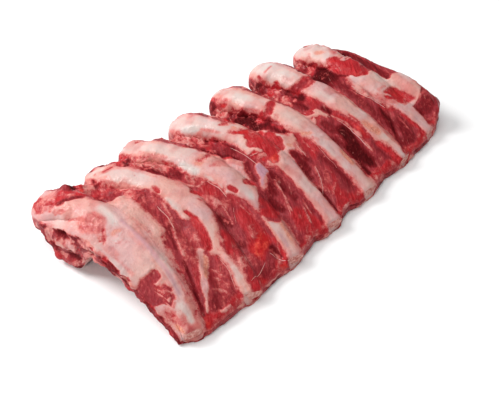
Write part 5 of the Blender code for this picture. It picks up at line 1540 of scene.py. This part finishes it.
    # wet all over, and duller in the torn and deep places
    gloss = add(tree, "MapRange", {0: mottle, 1: 0.30, 2: 0.70, 3: 0.30, 4: 0.50})
    gloss = add(tree, "Math", {0: dark, 1: 0.45, 2: gloss}, operation="MULTIPLY_ADD")
    tree.links.new(gloss, shader.inputs["Roughness"])
    juice = add(tree, "MapRange", {0: dark, 1: 0.10, 2: 0.65, 3: coat, 4: 0.02}, **ramp)
    tree.links.new(juice, shader.inputs["Coat Weight"])
    height = add(tree, "Math", {0: mottle, 1: 1.6, 2: fleck}, operation="MULTIPLY_ADD")
    height = add(tree, "Math", {0: threads, 1: 0.4, 2: height}, operation="MULTIPLY_ADD")
    bump = add(tree, "Bump", {"Strength": relief, "Distance": 0.0012, "Height": height})
    tree.links.new(bump, shader.inputs["Normal"])
    tree.links.new(bump, shader.inputs["Coat Normal"])
    shader.inputs["IOR"].default_value = 1.36
    shader.inputs["Specular IOR Level"].default_value = 0.15
    shader.inputs["Subsurface Weight"].default_value = 0.08
    shader.inputs["Subsurface Radius"].default_value = (1.0, 0.30, 0.22)
    shader.inputs["Subsurface Scale"].default_value = 0.002
    shader.inputs["Coat Roughness"].default_value = 0.14
    shader.inputs["Coat IOR"].default_value = 1.33
    return finish


def paper_floor():
    """Matt white paper: a wide square sheet that runs out of view on every side."""
    half = PAPER_HALF_WIDTH
    corners = [(-half, -half, 0.0), (half, -half, 0.0), (half, half, 0.0), (-half, half, 0.0)]
    mesh = bpy.data.meshes.new("paper_floor")
    mesh.from_pydata(corners, [], [(0, 1, 2, 3)])
    finish = bpy.data.materials.new("white paper sweep")
    finish.use_nodes = True
    shader = finish.node_tree.nodes["Principled BSDF"]
    shader.inputs["Base Color"].default_value = colour("#FAFAFA")
    shader.inputs["Roughness"].default_value = 0.9
    shader.inputs["Specular IOR Level"].default_value = 0.1
    mesh.materials.append(finish)
    floor = bpy.data.objects.new("paper_floor", mesh)
    bpy.context.scene.collection.objects.link(floor)


def soft_box(name, place, size, power):
    """A square white light that faces the origin."""
    data = bpy.data.lights.new(name, "AREA")
    data.size = size
    data.energy = power
    light = bpy.data.objects.new(name, data)
    light.location = place
    light.rotation_euler = (-Vector(place)).to_track_quat("-Z", "Y").to_euler()
    bpy.context.scene.collection.objects.link(light)


def studio():
    """White room light, the soft boxes, the paper and a camera at the photograph's angle. The strongest
    light comes from behind on the left."""
    scene = bpy.context.scene
    world = bpy.data.worlds.new("white room")
    world.use_nodes = True
    background = world.node_tree.nodes["Background"]
    background.inputs[0].default_value = (1.0, 1.0, 1.0, 1.0)
    background.inputs[1].default_value = ROOM_LIGHT
    scene.world = world
    scene.view_settings.view_transform = "Standard"
    for name, (place, size, power) in SOFT_BOXES.items():
        soft_box(name, place, size, power)
    paper_floor()

    level = math.cos(CAMERA_ELEVATION)
    back_x, back_y = math.sin(CAMERA_AZIMUTH) * level, -math.cos(CAMERA_AZIMUTH) * level
    back = Vector((back_x, back_y, math.sin(CAMERA_ELEVATION)))
    data = bpy.data.cameras.new("camera")
    data.lens = CAMERA_LENS_MM
    data.sensor_width = CAMERA_SENSOR_MM
    data.shift_x, data.shift_y = CAMERA_SHIFT
    camera = bpy.data.objects.new("camera", data)
    camera.location = back * CAMERA_DISTANCE - Vector(CENTRE.tolist())
    camera.rotation_euler = (-back).to_track_quat("-Z", "Y").to_euler()
    scene.collection.objects.link(camera)
    scene.camera = camera


def main():
    """Sets up the studio, mixes the three finishes and builds every piece of the rack."""
    studio()
    # Lean muscle with its fascia: wet, fibrous, dark red to pale pink, with a soft shine where juice lies.
    meat_finish = wet_tissue("raw rib meat with fascia", 0.45, 0.40)
    # Bone in its skin: the same tissues pulled smooth over bone, paler, with a broader shine.
    bone_finish = wet_tissue("rib bone in its skin", 0.30, 0.35)
    # Fat and sinew: the same tissues in thin shining cords.
    sinew_finish = wet_tissue("fat and sinew", 0.35, 0.40)

    points, faces, values = meat_surface()
    solid_piece("rack_meat", points, faces, values, meat_finish, ["meat"])
    for rib in range(len(RIBS)):
        points, faces, values = bone_piece(rib)
        solid_piece(f"rib_bone_{rib + 1}", points, faces, values, bone_finish, [f"rib_{rib + 1}"])
    strand_pieces("sinew_strands", STRANDS, sinew_finish, 0.6)
    strand_pieces("fat_curls", CURLS, sinew_finish, 0.40)


main()
